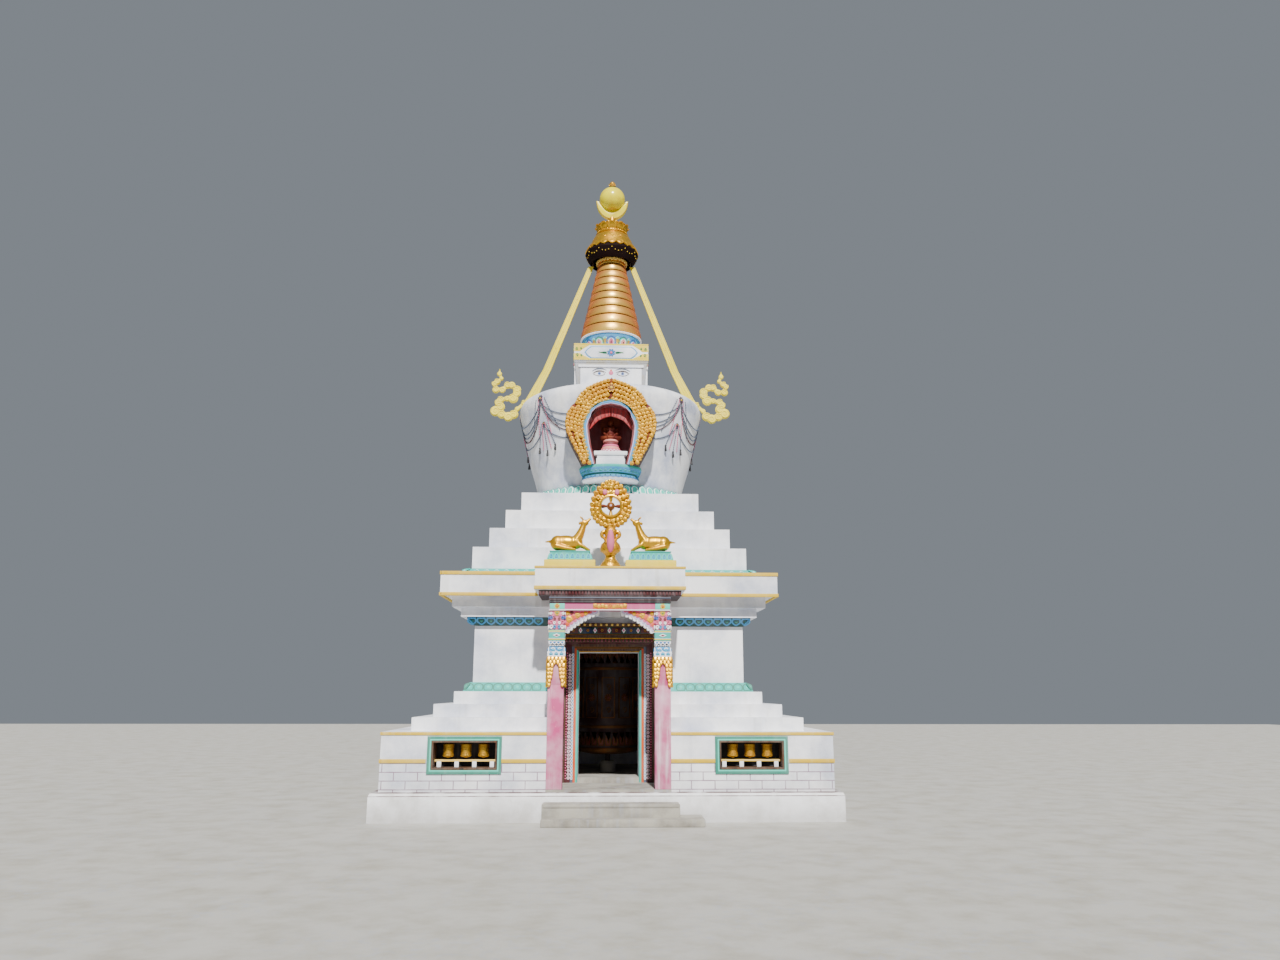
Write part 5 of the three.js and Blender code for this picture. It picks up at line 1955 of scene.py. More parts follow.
@dataclass
class DomeNiche:
    """The horseshoe surround of the dome's niche, and the seated figure inside."""

    opening: ClassVar[Outline] = ((0.27, 5.766), (0.309, 5.918), (0.355, 6.11), (0.388, 6.304), (0.402, 6.44),
        (0.392, 6.53), (0.352, 6.605), (0.338, 6.69), (0.262, 6.775), (0.156, 6.83), (0.0, 6.857))
    band: Outline = ((0.363, 5.766), (0.418, 6.004), (0.471, 6.204), (0.489, 6.385), (0.486, 6.512), (0.441, 6.62),
        (0.402, 6.695), (0.364, 6.775), (0.273, 6.856), (0.16, 6.911), (0.0, 6.945))
    halo: Outline = ((0.495, 5.766), (0.553, 5.885), (0.632, 6.028), (0.703, 6.17), (0.757, 6.285), (0.799, 6.385),
        (0.812, 6.49), (0.804, 6.607), (0.767, 6.728), (0.693, 6.843), (0.638, 6.885), (0.608, 6.973), (0.541, 7.068),
        (0.438, 7.171), (0.314, 7.24), (0.157, 7.305), (0.0, 7.35))
    face: float = -1.88
    y: float = -1.42
    knob: float = 0.078
    painted: Table = ((0.86, 1.03, "teal", -0.004), (0.42, 0.88, "sky", 0.006), (0.24, 0.44, "lilac", 0.014),
        (0.0, 0.26, "red", 0.026))
    valance: Outline = ((0.008, 6.68), (0.11, 6.655), (0.22, 6.6), (0.3, 6.52), (0.365, 6.44), (0.392, 6.44),
        (0.384, 6.53), (0.345, 6.605), (0.33, 6.685), (0.256, 6.768), (0.152, 6.822), (0.008, 6.848))
    folds: Table = ((0.05, 6.83, 0.04, 6.69), (0.12, 6.82, 0.1, 6.68), (0.2, 6.78, 0.17, 6.645),
        (0.27, 6.73, 0.23, 6.61), (0.325, 6.66, 0.29, 6.55))
    lumps: Table = (("torso", 0, 0, 6.455, (0.098, 0.066, 0.125), ()),
        ("chest", 0, -0.008, 6.515, (0.112, 0.062, 0.06), ()), ("lap", 0, -0.03, 6.345, (0.165, 0.105, 0.05), ()),
        ("neck", 0, -0.004, 6.578, (0.026, 0.026, 0.03), (12, 8)),
        ("head", 0, -0.012, 6.632, (0.046, 0.048, 0.056), ()),
        ("chin", 0, -0.022, 6.602, (0.03, 0.034, 0.026), (12, 8)),
        ("nose", 0, -0.06, 6.626, (0.007, 0.01, 0.014), (8, 6)),
        ("knot", 0, -0.004, 6.694, (0.024, 0.024, 0.024), (12, 8)),
        ("tip", 0, -0.004, 6.722, (0.01, 0.01, 0.014), (8, 6)),
        ("left_ear", -0.047, -0.008, 6.618, (0.009, 0.014, 0.026), (8, 6)),
        ("right_ear", 0.047, -0.008, 6.618, (0.009, 0.014, 0.026), (8, 6)),
        ("left_brow", -0.02, -0.054, 6.64, (0.015, 0.007, 0.005), (8, 6)),
        ("right_brow", 0.02, -0.054, 6.64, (0.015, 0.007, 0.005), (8, 6)))
    steps: Table = ((0.206, 6.018, 6.11, "rose"), (0.168, 6.106, 6.165, "salmon"), (0.15, 6.161, 6.21, "rose"),
        (0.128, 6.206, 6.262, "red"), (0.142, 6.258, 6.304, "salmon"))
    disc: Outline = ((0, -0.012), (0.15, -0.012), (0.168, -0.02), (0.19, -0.012), (0.194, 0.0), (0.19, 0.012),
        (0, 0.012))
    blocks: Table = (((-0.256, -1.8, 5.764), (0.256, -1.18, 5.885), 0.01),
        ((-0.24, -1.78, 5.88), (0.24, -1.18, 5.947), 0.006), ((-0.296, -1.8, 5.944), (0.296, -1.18, 6.02), 0.012))
    shelf: Outline = ((0, 5.504), (0.44, 5.504), (0.492, 5.512), (0.508, 5.54), (0.5, 5.575), (0.478, 5.592),
        (0.47, 5.618), (0.486, 5.632), (0.53, 5.672), (0.556, 5.716), (0.56, 5.75), (0.552, 5.7655), (0, 5.7655))

    @staticmethod
    def _ring(outer: Outline, inner: Outline) -> list[tuple[float, float]]:
        """Close an arch-shaped ring between two half outlines."""
        left = [(-x, z) for x, z in inner if x > 0]
        return mirrored(outer) + left + [(x, z) for x, z in reversed(inner)]

    def _between(self, share: float) -> list[tuple[float, float]]:
        """Return the half outline at a share of the way from the opening to the band's edge."""
        return [(a + (c - a) * share, b + (d - b) * share) for (a, b), (c, d) in zip(self.opening, self.band)]

    @staticmethod
    def _along(outline: Outline, step: float, offset: float, y: float, start: float = 0.5) -> list[Matrix]:
        """Stand ornaments at even steps along an outline's right half, tops pointing outwards.

        Args:
            outline: The right half, from below.
            step: Distance between two ornaments.
            offset: Distance of their feet outside the outline.
            y: Where their feet stand.
            start: Where the first one stands, as a share of a step.

        Returns:
            One matrix for each.
        """
        places, carry = [], step * start
        for (ax, az), (bx, bz) in zip(outline, outline[1:]):
            length = math.hypot(bx - ax, bz - az)
            nx, nz = (bz - az) / length, -(bx - ax) / length
            while carry < length:
                t = carry / length
                places.append(stand((ax + (bx - ax) * t + nx * offset, y, az + (bz - az) * t + nz * offset),
                    (nx, 0, nz)))
                carry += step
            carry -= length
        return places

    def _knobs(self, y: float) -> list[Matrix]:
        """Pack the gilt curls in staggered rows from the outer edge to the painted bands.

        Args:
            y: Where their feet stand.

        Returns:
            One matrix for each curl.
        """
        inner = [self.band[min(10, round(i * 10 / 16))] for i in range(17)]
        kept: list[Matrix] = []
        for row, share in enumerate((0.0, 0.24, 0.48, 0.72, 0.95)):
            line = [(a + (c - a) * share, b + (d - b) * share) for (a, b), (c, d) in zip(self.halo, inner)]
            for place in self._along(line, self.knob * 0.88, -self.knob * 0.47 * (1 - share), y, 0.5 * (row % 2) + 0.3):
                if all((place.translation - other.translation).length > self.knob * 0.72 for other in kept):
                    kept.append(place @ Matrix.Rotation(2.4 * len(kept), 4, "Y"))
        return kept + [FLIP @ place for place in kept if place.translation.x > 0.03]

    def surround(self) -> Piece:
        """Model the gilt horseshoe with its packed curls, and the painted bands inside it.

        Returns:
            The horseshoe.
        """
        gold = Piece.plate(self._ring(self.halo, self.band), self.face + 0.03, -1.3, 0.012)
        # The ground under the curls is dark rust, painted shade between them; its deep inner sides are timber brown.
        gold.coat("copper_dark", "timber")
        gold.patch(1, lambda at, facing: abs(facing.y) < 0.5 and at.y > self.face + 0.06)
        parts = [gold]
        for near, far, coat, depth in self.painted:
            ring = Piece.plate(self._ring(self._between(far), self._between(near)), self.face + depth, self.face + 0.1,
                0.006)
            parts.append(ring.coat(coat))
        y = self.face + 0.026
        parts.append(Carving.knob(self.knob, "gold_paint").times(self._knobs(y)))
        stud = Piece.ball((0, 0, 0), (0.014, 0.014, 0.014), 8, 6).coat("pale_gold")
        row = self._along(self.band, 0.048, 0.006, self.face + 0.006)
        parts.append(stud.times(row + [FLIP @ place for place in row]))
        gem = Carving.flower(0.085, ("gold_paint", "red", "ochre"))
        parts.append(gem.at(move(0, y - 0.035, 7.16)))
        return Piece.join(parts)

    def lining(self) -> Piece:
        """Model the deep red inside of the niche, its back, and the split valance at its top.

        Returns:
            The lining.
        """
        inner = [(x * 0.965, z - 0.012) for x, z in self.opening]
        parts = [Piece.plate(self._ring(self.opening, inner), self.face + 0.08, -1.125).coat("red"),
            Piece.plate(mirrored(self.opening), -1.145, -1.118).coat("red")]
        for sign in SIDES:
            half = Piece.plate([(sign * x, z) for x, z in self.valance], -1.72, -1.69, 0.012)
            parts.append(half.coat("scarlet"))
            folds = [Piece.tube([(sign * a, -1.722, b), (sign * c, -1.722, d)], 0.008, 2, (0.6, 1.0))
                for a, b, c, d in self.folds]
            parts.append(Piece.join(folds).coat("red"))
        return Piece.join(parts)

    def figure(self) -> Piece:
        """Model the seated figure: a calm, plain face, folded legs and hands in the lap.

        Returns:
            The figure in its place.
        """
        y = self.y
        lumps = [Piece.ball((x, y + dy, z), radii, *fine) for _, x, dy, z, radii, fine in self.lumps]
        for s in SIDES:
            lumps += [Piece.tube([(s * 0.108, y, 6.535), (s * 0.142, y - 0.005, 6.46), (s * 0.128, y - 0.05, 6.395),
                (s * 0.05, y - 0.095, 6.385)], 0.032, 3, (1.1, 1.0, 0.85, 0.65), 5),
                Piece.tube([(s * 0.165, y - 0.03, 6.34), (s * 0.1, y - 0.105, 6.33), (-s * 0.06, y - 0.125, 6.335)],
                0.036, 3, (1.2, 1.0, 0.7), 5)]
        return Piece.moulded(lumps, 0.0065, 3).coat("figure")

    def seat(self) -> Piece:
        """Model the round stepped seat and the halo behind the figure.

        Returns:
            The seat and the halo.
        """
        parts = []
        for outer, low, high, coat in self.steps:
            step = Piece.turned([(0, low), (outer - 0.014, low), (outer, low + 0.014), (outer, high - 0.014),
                (outer - 0.014, high), (0, high)], 40, (0, self.y))
            parts.append(step.coat(coat))
        petal = Lotus.petal(0.066, 0.07, 0.012, ("white", "rose", "red"), 0.35)
        parts.append(petal.times([move(0, self.y, 0) @ place for place in ring_places(20, 0.204, 6.032, 0.05)]))
        halo = Piece.turned(self.disc, 40)
        halo.at(move(0, self.y + 0.085, 6.6) @ Matrix.Rotation(math.pi / 2, 4, "X"))
        parts.append(halo.coat("figure"))
        return Piece.join(parts)

    def stand_below(self) -> None:
        """Build the white pedestal and the round shelf with its lotus."""
        blocks = [Piece.bar(low, high, "wall", bevel) for low, high, bevel in self.blocks]
        Piece.join(blocks).fit("pedestal", "whitewash", "niche_pedestal")
        squash = move(0, -1.45, 0) @ Matrix.Scale(0.82, 4, (0, 1, 0))
        shelf = Piece.turned(self.shelf, 72).coat("sky", "teal", "aqua", "wall")
        shelf.patch(1, lambda at, facing: 5.585 < at.z < 5.628)
        shelf.patch(2, lambda at, facing: at.z > 5.72)
        shelf.patch(3, lambda at, facing: at.z < 5.545)
        upper = Lotus.petal(0.098, 0.092, 0.018, ("sky", "aqua", "blue"), 0.3).times(ring_places(36, 0.5, 5.632, -0.5))
        lower = Lotus.petal(0.092, 0.046, 0.012, ("sky", "mint", "blue"),
            0.3).times(ring_places(34, 0.498, 5.588, 0.15, down=True))
        piece = Piece.join([shelf, upper, lower]).at(squash)
        piece.fit("niche_shelf", "teal_paint", "dome_niche_shelf")

    def build(self) -> None:
        """Build the surround, its inside, and what stands in it."""
        self.surround().fit("niche_surround", "gilding", "dome_niche_frame")
        self.lining().fit("niche_lining", "maroon_paint")
        Piece.join([self.figure(), self.seat()]).fit("niche_figure", "spire_copper", "seated_figure")
        self.stand_below()


@dataclass
class Harmika:
    """The square block over the dome, with painted eyes and a painted slab."""

    half: float = 0.655
    flare: float = 0.693
    foot: float = 7.52
    top: float = 8.085
    proud: float = 0.705
    slab: float = 0.714
    eye: Outline = ((-0.078, 0.003), (-0.048, 0.027), (0.0, 0.037), (0.048, 0.027), (0.082, 0.0), (0.044, -0.018),
        (0.0, -0.024), (-0.044, -0.016))
    brush: Table = ((((-0.096, 0.024), (-0.056, 0.05), (0.0, 0.059), (0.056, 0.048), (0.1, 0.01)), 0.0055, "timber"),
        (((-0.104, 0.064), (-0.048, 0.088), (0.016, 0.091), (0.072, 0.073), (0.108, 0.045)), 0.007, "slate"))
    lobes: Outline = ((0.49, 8.243), (0.445, 8.3), (0.376, 8.35), (-0.376, 8.35), (-0.445, 8.3), (-0.49, 8.243),
        (-0.445, 8.185), (-0.376, 8.136), (0.376, 8.136), (0.445, 8.185))

    def _eye(self) -> Piece:
        """Model one painted eye of traditional form, under an arched brow.

        Returns:
            The eye about its own middle.
        """
        parts = [Piece.plate(outline, near, 0.01, 0.002).coat(coat)
            for outline, near, coat in (([(x * 1.12, z * 1.25) for x, z in self.eye], -0.004, "timber"),
            (self.eye, -0.008, "wall"), (arc(0, 0.01, 0.023, 0, 330, 12), -0.012, "blue"),
            (arc(0, 0.01, 0.01, 0, 330, 12), -0.015, "ink"))]
        for path, radius, coat in self.brush:
            line = Piece.tube([(x, -0.002, z) for x, z in path], radius, 2, (0.4, 1, 1.2, 1, 0.4), 5)
            parts.append(line.coat(coat))
        return Piece.join(parts)

    def _face(self) -> Piece:
        """Model what one side of the block carries: the white panel, ledge, eyes and mark.

        Returns:
            The front side.
        """
        y = -self.proud
        spot = move(0.222, y - 0.002, 7.806) @ Matrix.Diagonal((1.3, 1, 1.3, 1))
        curl = Piece.tube([(x, y - 0.003, z) for x, z in spiral(0, 7.705, 0.034, 0.008, 90, -330, 16)], 0.006, 2,
            [1 - 0.03 * i for i in range(16)])
        return Piece.join([Piece.bar((-0.588, y, self.foot + 0.004), (0.588, -0.6, 7.928), "wall", 0.012),
            Piece.bar((-0.628, y - 0.006, 7.95), (0.628, -0.62, 7.999), "wall", 0.01),
            self._eye().times([spot, FLIP @ spot]),
            Piece.ball((0, y, 7.836), (0.044, 0.01, 0.044), 16, 10).coat("rose"),
            Piece.ball((0, y, 7.886), (0.018, 0.01, 0.022), 10, 8).coat("orange"), curl.coat("slate")])

    def _slab_face(self) -> Piece:
        """Model one painted side of the slab: strips, corner leaves, lobed field and flower.

        Returns:
            The front side.
        """
        y = -self.slab
        parts = [Piece.bar((-0.716, y - 0.004, low), (0.716, y + 0.01, high), "yellow")
            for low, high in ((8.09, 8.122), (8.392, 8.423))]
        border = [(x * 1.05, 8.243 + (z - 8.243) * 1.14) for x, z in self.lobes]
        parts += [Piece.plate(border, y - 0.005, y + 0.01, 0.003).coat("sky"),
            Piece.plate(self.lobes, y - 0.009, y + 0.01, 0.003).coat("wall")]
        for foot, tip in ((8.124, 8.225), (8.39, 8.262)):
            corner = Piece.plate([(0.708, foot), (0.42, foot), (0.52, (foot + tip) / 2), (0.6, tip), (0.708, tip)],
                y - 0.004, y + 0.01, 0.003).coat("yellow")
            side = Matrix.Scale(-1, 4, (0, 0, 1)) if foot > 8.2 else FLIP
            curls = [Carving.scroll(size, 0.008, "green").at(move(x, y - 0.004, (foot * 2 + tip) / 3) @ side)
                for size, x in ((0.075, 0.655), (0.055, 0.575))]
            master = Piece.join([corner, *curls])
            parts.append(master.times([Matrix.Identity(4), FLIP]))
        parts.append(Carving.flower(0.085, ("blue", "sky", "rose")).at(move(0, y - 0.008, 8.238)))
        leaf = Lotus.petal(0.05, 0.15, 0.008, ("green", "teal", "green"), 0.5)
        parts.append(leaf.times([stand((sign * 0.08, y - 0.008, 8.235), (sign, 0, 0.05)) for sign in SIDES]))
        return Piece.join(parts)

    def build(self) -> None:
        """Build the block and the slab with four like sides."""
        quarters = [turn(quarter) for quarter in range(4)]
        core = [Piece.tower(rings, (0, 0), 0.008).coat("cement")
            for rings in ([(self.half, self.half, self.foot), (self.flare, self.flare, self.top)],
            [(0.7, 0.7, 8.045), (0.702, 0.702, 8.084)])]
        faces = self._face().times(quarters)
        Piece.join([*core, faces]).fit("painted_block", "cement", "harmika_box")
        slab = Piece.bar((-self.slab, -self.slab, 8.086), (self.slab, self.slab, 8.425), "wall", 0.008)
        faces = self._slab_face().times(quarters)
        Piece.join([slab, faces]).fit("painted_slab", "whitewash", "harmika_slab")


@dataclass
class Spire:
    """The thirteen gilt hoops on their lotus seat."""

    feet: tuple[float, ...] = (8.75, 8.942, 9.138, 9.326, 9.5, 9.665, 9.832, 9.998, 10.16, 10.32, 10.465, 10.585,
        10.685)
    top: float = 10.77
    petals: int = 14
    hoop: Outline = ((0.0, 0.05), (0.03, 0.012), (0.1, 0.001), (0.24, 0.0), (0.42, 0.003), (0.6, 0.01), (0.76, 0.018),
        (0.88, 0.026), (0.92, 0.055))
    bowl: Outline = ((0.4, 8.427), (0.462, 8.427), (0.49, 8.47), (0.535, 8.56), (0.575, 8.66), (0.585, 8.715),
        (0.4, 8.715), (0.4, 8.427))
    rim: Outline = ((0.56, 8.708), (0.602, 8.704), (0.614, 8.718), (0.61, 8.736), (0.588, 8.746), (0.545, 8.744),
        (0.56, 8.708))

    @staticmethod
    def radius(z: float) -> float:
        """Return the hoops' radius at a height."""
        return 0.605 - (z - 8.75) * 0.208

    def hoops(self) -> Piece:
        """Turn the hoops, with a groove between each two painted dark as its shade.

        Returns:
            The hoops.
        """
        profile: list[tuple[float, float]] = [(0, 8.425), (0.44, 8.425), (0.5, 8.47), (0.545, 8.56), (0.565, 8.66),
            (0.57, 8.742)]
        grooves = []
        for foot, head in zip(self.feet, [*self.feet[1:], self.top]):
            r, tall = self.radius(foot), head - foot
            grooves.append((head - 0.024, head + 0.006))
            for share, inward in self.hoop:
                profile.append((r - inward, foot + tall * share))
        profile += [(0.12, self.top), (0, self.top)]
        hoops = Piece.turned(profile, 96).coat("hoop", "copper_dark")
        # Paint the grooves dark rust: painted shade in the recess between two hoops.
        hoops.patch(1, lambda at, facing: at.z > 8.7 and any(a < at.z < b for a, b in grooves)
            and (abs(facing.z) > 0.6 or math.hypot(at.x, at.y) < self.radius(at.z) - 0.028))
        return hoops

    def seat(self) -> Piece:
        """Model the seat: a smooth bowl with large round petals by turns of two colourings, and a white rim.

        Returns:
            The seat.
        """
        bowl = Piece.turned(self.bowl, 64)
        parts = [bowl.coat("sky")]
        wide = math.tau * 0.565 / self.petals * 0.92
        for start, coats, heart in ((0, ("blue", "sky", "white"), "rose"), (1, ("teal", "mint", "white"), "salmon")):
            petal = Lotus.petal(wide * 0.84, 0.225, 0.024, coats, 0.16, 0.1)
            drop = Lotus.petal(wide * 0.4, 0.13, 0.014, (heart, heart, "red"), 0.3).at(move(0, -0.02, 0.05))
            places = ring_places(self.petals, 0.478, 8.44, -0.4)[start::2]
            parts.append(Piece.join([petal, drop]).times(places))
        small = Lotus.petal(wide * 0.6, 0.2, 0.01, ("sky", "white", "mint"), 0.25, 0.1)
        parts.append(small.times(ring_places(self.petals, 0.505, 8.49, -0.34, math.pi / self.petals)))
        rim = Piece.turned(self.rim, 64)
        parts.append(rim.coat("wall"))
        return Piece.join(parts)

    def build(self) -> None:
        """Build the hoops and their seat."""
        self.hoops().fit("spire_hoops", "spire_copper", "spire")
        self.seat().fit("spire_seat", "lotus_aqua")


@dataclass
class Crown:
    """The umbrella with its fringe, the leaf crown, and the moon and sun at the top."""

    leaves: int = 11
    lobes: int = 20
    bell: Outline = ((0, 10.772), (0.29, 10.772), (0.31, 10.715), (0.478, 10.664), (0.492, 10.661), (0.497, 10.672),
        (0.486, 10.694), (0.455, 10.76), (0.428, 10.818), (0.415, 10.85), (0.388, 10.905), (0.372, 10.94),
        (0.348, 10.978), (0.318, 11.004), (0.332, 11.012), (0.334, 11.026), (0.322, 11.036), (0.3, 11.04),
        (0.296, 11.066), (0.262, 11.08), (0, 11.08))
    skirt: Outline = ((0.3, 10.712), (0.5, 10.66), (0.528, 10.618), (0.54, 10.58), (0.512, 10.52), (0.47, 10.44),
        (0.432, 10.388), (0.418, 10.386), (0.455, 10.442), (0.497, 10.522), (0.512, 10.578), (0.476, 10.636),
        (0.3, 10.684), (0.3, 10.712))
    ring: Outline = ((0.255, 10.4), (0.3, 10.398), (0.318, 10.412), (0.3, 10.43), (0.255, 10.432), (0.255, 10.4))
    cup: Outline = ((0, 11.082), (0.264, 11.082), (0.284, 11.11), (0.302, 11.15), (0.318, 11.19), (0.296, 11.188),
        (0.27, 11.176), (0.12, 11.176), (0, 11.176))
    stem: Outline = ((0, 11.17), (0.13, 11.172), (0.105, 11.2), (0.07, 11.235), (0.062, 11.29), (0.09, 11.315),
        (0.095, 11.34), (0.066, 11.362), (0.056, 11.44), (0, 11.45))
    jewel: Outline = ((0, 12.095), (0.052, 12.1), (0.073, 12.125), (0.076, 12.138), (0.07, 12.15), (0.044, 12.16),
        (0.052, 12.172), (0.06, 12.19), (0.057, 12.212), (0.044, 12.235), (0.022, 12.256), (0.006, 12.268), (0, 12.268))

    def umbrella(self) -> Piece:
        """Model the bell-shaped umbrella with its lobed rim, bands of scrolls and neck ring.

        Returns:
            The umbrella.
        """
        bell = Piece.turned(self.bell, 80)
        lobe = Lotus.petal(0.158, 0.135, 0.014, ("bright_gilt", "gilt_smooth", "bright_gilt"), 0.3, 0.12)
        curl = Carving.scroll(0.085, 0.008, "gilt_smooth")
        bead = Piece.ball((0, 0, 0), (0.014, 0.014, 0.014), 8, 6).coat("bright_gilt")
        parts = [bell.coat("gilt_smooth"), lobe.times(ring_places(self.lobes, 0.474, 10.735, 0.52, down=True)),
            curl.times(ring_places(16, 0.42, 10.825, 0.5)), bead.times(ring_places(44, 0.306, 11.054))]
        return Piece.join(parts)

    def fringe(self) -> Piece:
        """Model the dark pleated fringe with its ragged hem, its dots of ochre and the pale ring under it.

        Returns:
            The fringe.
        """
        skirt = Piece.turned(self.skirt, 80)
        parts = [skirt.coat("fringe")]
        for count, radius, z, tall, start in ((19, 0.5, 10.52, 0.165, 0.0), (27, 0.478, 10.475, 0.1, 0.11)):
            flap = Lotus.petal(math.tau * radius / count * 0.98, tall, 0.008, ("fringe", "ink", "fringe"), 0.5)
            hang = ring_places(count, radius, z, -0.53, start, down=True)
            parts.append(flap.times(hang))
        dots = [Matrix.Rotation(math.tau * i / 48, 4, "Z")
            @ move(0, -(0.53 - 0.03 * (i % 4 * (4 - i % 4)) / 4), 10.548 - 0.06 * (i % 4 * (4 - i % 4)) / 4)
            for i in range(48)]
        ring = Piece.turned(self.ring, 48)
        parts += [ring.coat("pale_gold"), Piece.ball((0, 0, 0), (0.011, 0.011, 0.011), 6, 4).coat("ochre").times(dots),
            Carving.leaf(0.075, 0.05, 0.01, "pale_gold").times(ring_places(24, 0.306, 10.415, down=True))]
        return Piece.join(parts)

    def leaf_crown(self) -> Piece:
        """Model the cup of broad upright leaves that curl out a little at their tips.

        Returns:
            The leaf crown.
        """
        cup = Piece.turned(self.cup, 64)
        parts = [cup.coat("gilt_smooth")]
        for number, (width, height, radius, z, lean) in enumerate(((0.178, 0.15, 0.27, 11.088, -0.46),
                (0.15, 0.135, 0.258, 11.096, -0.4))):
            leaf = Lotus.petal(width, height, 0.016, ("bright_gilt", "gilt_smooth", "bright_gilt"), 0.28, 0.12)
            path = [(-width * 0.26, -0.01, height * 0.9), (0, -0.024, height * 1.02),
                (width * 0.26, -0.01, height * 0.9)]
            tip = Piece.tube(path, 0.013, 2, (0.6, 1.2, 0.6), 4).coat("bright_gilt")
            leaf = Piece.join([leaf, tip])
            parts.append(leaf.times(ring_places(self.leaves, radius, z, lean, math.pi / self.leaves * number)))
        return Piece.join(parts)

    @staticmethod
    def _moon_outline() -> list[tuple[float, float]]:
        """Return the crescent: a wide outer arc and a shallower inner one."""
        return arc(0, 11.8, 0.328, 180, 360, 31, 1.2195) + arc(0, 11.806, 0.27, 354, 186, 29, 0.7)

    def finial(self) -> Piece:
        """Model the stem, the crescent, the sun on it and the jewel at the tip.

        Returns:
            All that stands above the leaf crown.
        """
        stem = Piece.turned(self.stem, 32)
        parts = [stem.coat("gilt_smooth"), Piece.plate(self._moon_outline(), -0.045, 0.045, 0.012).coat("sunny")]
        for side in (1, -1):
            path = [(x, side * 0.04, z) for x, z in arc(0, 11.8, 0.316, 184, 356, 26, 1.2195)]
            parts.append(Piece.tube(path, 0.009, 2).coat("ochre"))
        sun = Piece.ball((0, 0, 11.848), (0.262, 0.262, 0.262), 40, 26).coat("sunny", "ochre")
        # The sun's bottom, where it sits in the crescent, is ochre: a painted shadow line along the joint.
        sun.patch(1, lambda at, facing: at.z < 11.62)
        jewel = Piece.turned(self.jewel, 28)
        jewel.coat("bright_gilt", "timber")
        jewel.patch(1, lambda at, facing: at.z < 12.14)
        petal = Lotus.petal(0.042, 0.05, 0.008, ("gold_paint", "ochre", "gold_paint"), 0.5)
        petals = petal.times(ring_places(8, 0.052, 12.15, -0.35))
        return Piece.join([*parts, sun, jewel, petals])

    def build(self) -> None:
        """Build the crown from the fringe up."""
        self.fringe().fit("umbrella_skirt", "gilding", "umbrella_fringe")
        self.umbrella().fit("umbrella_bell", "gilding", "umbrella")
        self.leaf_crown().fit("curling_leaf_crown", "gilding", "leaf_crown")
        self.finial().fit("moon_sun_and_jewel", "gilding", "moon_and_sun")


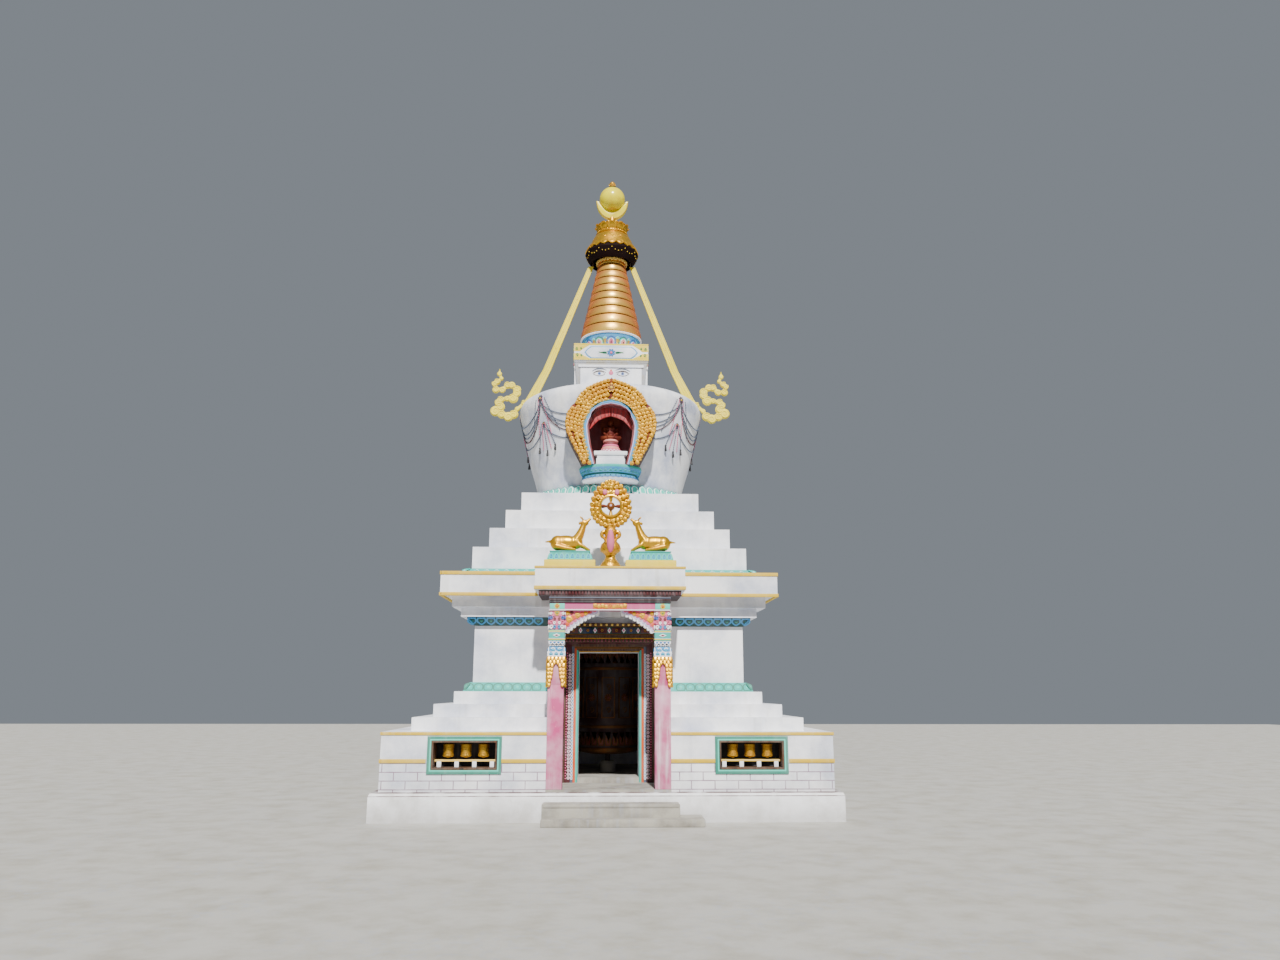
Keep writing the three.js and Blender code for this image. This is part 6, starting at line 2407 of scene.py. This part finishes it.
@dataclass
class Streamers:
    """The two painted metal bands that come down from the umbrella and curl into clouds."""

    band: Outline = ((0.365, 10.344), (0.474, 10.344), (1.344, 8.123), (1.657, 7.526), (1.745, 7.4), (1.7, 7.25),
        (1.6, 7.28), (1.456, 7.528), (1.185, 8.125))
    curls: Table = ((2.204, 8.11, 0.014), (2.206, 8.018, 0.05), (2.162, 7.923, 0.04), (2.246, 7.854, 0.062),
        (2.295, 7.811, 0.057), (2.266, 7.69, 0.072), (2.14, 7.69, 0.064), (2.038, 7.785, 0.072), (1.957, 7.788, 0.072),
        (1.85, 7.7, 0.08), (1.85, 7.626, 0.08), (1.92, 7.515, 0.098), (2.035, 7.513, 0.057), (2.165, 7.485, 0.072),
        (2.203, 7.422, 0.081), (2.17, 7.339, 0.093), (2.258, 7.252, 0.106), (2.136, 7.182, 0.083), (2.005, 7.14, 0.095),
        (1.9, 7.185, 0.09), (1.836, 7.3, 0.05), (1.7, 7.42, 0.062))
    bolts: tuple[float, ...] = (0.16, 0.32, 0.48, 0.64, 0.8)
    borders: Table = (((0.378, 10.33), (1.196, 8.12), (1.466, 7.53)), ((0.462, 10.33), (1.333, 8.12), (1.64, 7.53)))

    def _strip(self) -> list[Piece]:
        """Model the band with its raised borders, its pleats and its bolts.

        Returns:
            The parts of the right strip.
        """
        parts = [Piece.plate(self.band, -0.016, 0.016, 0.004).coat("cream"),
            Piece.bar((0.372, -0.01, 10.33), (0.396, 0.01, 10.674), "timber", 0.003)]
        left, right = self.borders
        for side in SIDES:
            for share, radius in ((0.0, 0.008), (0.34, 0.007), (0.66, 0.007), (1.0, 0.008)):
                path = [(a[0] + (b[0] - a[0]) * share, side * 0.0165, a[1] + (b[1] - a[1]) * share)
                    for a, b in zip(left, right)]
                parts.append(Piece.tube(path, radius, 1).coat("cream"))
        for share in self.bolts:
            centre = (0.42 + (1.265 - 0.42) * share, 0, 10.33 + (8.12 - 10.33) * share)
            parts.append(Piece.ball(centre, (0.013, 0.024, 0.013), 10, 6).coat("ochre"))
        return parts

    def _cloud(self) -> list[Piece]:
        """Model the cloud at the foot: one softened body, with a raised spiral on each curl.

        Returns:
            The parts of the right cloud.
        """
        lumps = []
        for x, z, r in self.curls:
            lump = Piece.turned([(0, -0.03), (r * 0.7, -0.03), (r, -0.012), (r, 0.012), (r * 0.7, 0.03), (0, 0.03)], 24)
            lumps.append(lump.at(move(x, 0, z) @ Matrix.Rotation(math.pi / 2, 4, "X")))
        for (ax, az, ar), (bx, bz, br) in zip(self.curls, self.curls[1:]):
            length = math.hypot(bx - ax, bz - az)
            nx, nz = -(bz - az) / length * 0.6, (bx - ax) / length * 0.6
            lumps.append(Piece.plate([(ax + nx * ar, az + nz * ar), (ax - nx * ar, az - nz * ar),
                (bx - nx * br, bz - nz * br), (bx + nx * br, bz + nz * br)], -0.014, 0.014))
        parts = [Piece.moulded(lumps, 0.0095, 1, 0.6).coat("cream")]
        for number, (x, z, r) in enumerate(self.curls):
            hand = 1 if number % 2 else -1
            for side in SIDES if r > 0.055 else ():
                path = [(px, side * 0.031, pz) for px, pz in spiral(x, z, r * 0.88, r * 0.16, 40, 40 + hand * 560, 22)]
                line = Piece.tube(path, 0.01, 2, [1.0 - 0.02 * i for i in range(22)])
                parts.append(line.coat("cream"))
        return parts

    def build(self) -> None:
        """Build the right streamer and mirror it."""
        right = Piece.join(self._strip() + self._cloud())
        left = right.copies([FLIP])[0]
        for piece, name in ((right, "right"), (left, "left")):
            piece.fit(f"cloud_streamer_{name}", "streamer_cream", f"streamer_{name}")


@dataclass
class Studio:
    """The pale floor, the soft light and the camera at the photograph's angle."""

    camera_at: tuple[float, float, float] = (-0.104, -18.268, 1.87)
    pitch: float = 12.414
    yaw: float = 2.185
    roll: float = -0.093
    lens: float = 27.03
    film: float = 36.0
    reach: float = 300.0
    floor: float = 80.0
    sun: float = 7.2
    sun_width: float = 0.03
    sun_turn: tuple[float, float, float] = (47, 0, 4)
    sun_color: tuple[float, float, float] = (1.0, 0.975, 0.93)
    air: float = 0.27
    sky: tuple[float, float, float, float] = (0.8, 0.89, 1.0, 1.0)

    def build(self) -> None:
        """Set the stage, light it and place the camera."""
        bpy.ops.mesh.primitive_plane_add(size=self.floor)
        floor = Piece().coat("paper")
        floor.body.name = floor.body.data.name = "studio_floor"
        world = bpy.data.worlds.new("studio_air")
        world.use_nodes = True
        for socket, value in zip(world.node_tree.nodes["Background"].inputs, (self.sky, self.air)):
            socket.default_value = value
        bpy.context.scene.world = world
        bpy.ops.object.light_add(type="SUN", rotation=[math.radians(angle) for angle in self.sun_turn])
        sun = bpy.context.view_layer.objects.active.data
        sun.energy, sun.angle, sun.color = self.sun, self.sun_width, self.sun_color
        turned = [math.radians(angle) for angle in (90 + self.pitch, self.roll, -self.yaw)]
        bpy.ops.object.camera_add(location=self.camera_at, rotation=turned)
        camera = bpy.context.view_layer.objects.active
        camera.data.sensor_width, camera.data.lens, camera.data.clip_end = self.film, self.lens, self.reach
        bpy.context.scene.camera = camera


def main() -> None:
    """Build every part of the stupa in turn, from the ground up."""
    logging.basicConfig(level=logging.INFO, format="%(message)s")
    Studio().build()
    for part in (Base(), Plinth(), WheelNiches(), Lotus(), Cella(), Cornice(), Doorway(), Chamber(), Porch(),
            RoofGroup(), Dome(), DomeNiche(), Harmika(), Spire(), Crown(), Streamers()):
        before = len(bpy.data.objects)
        part.build()
        LOG.info("%s: %d pieces", type(part).__name__, len(bpy.data.objects) - before)


if __name__ == "__main__":
    main()
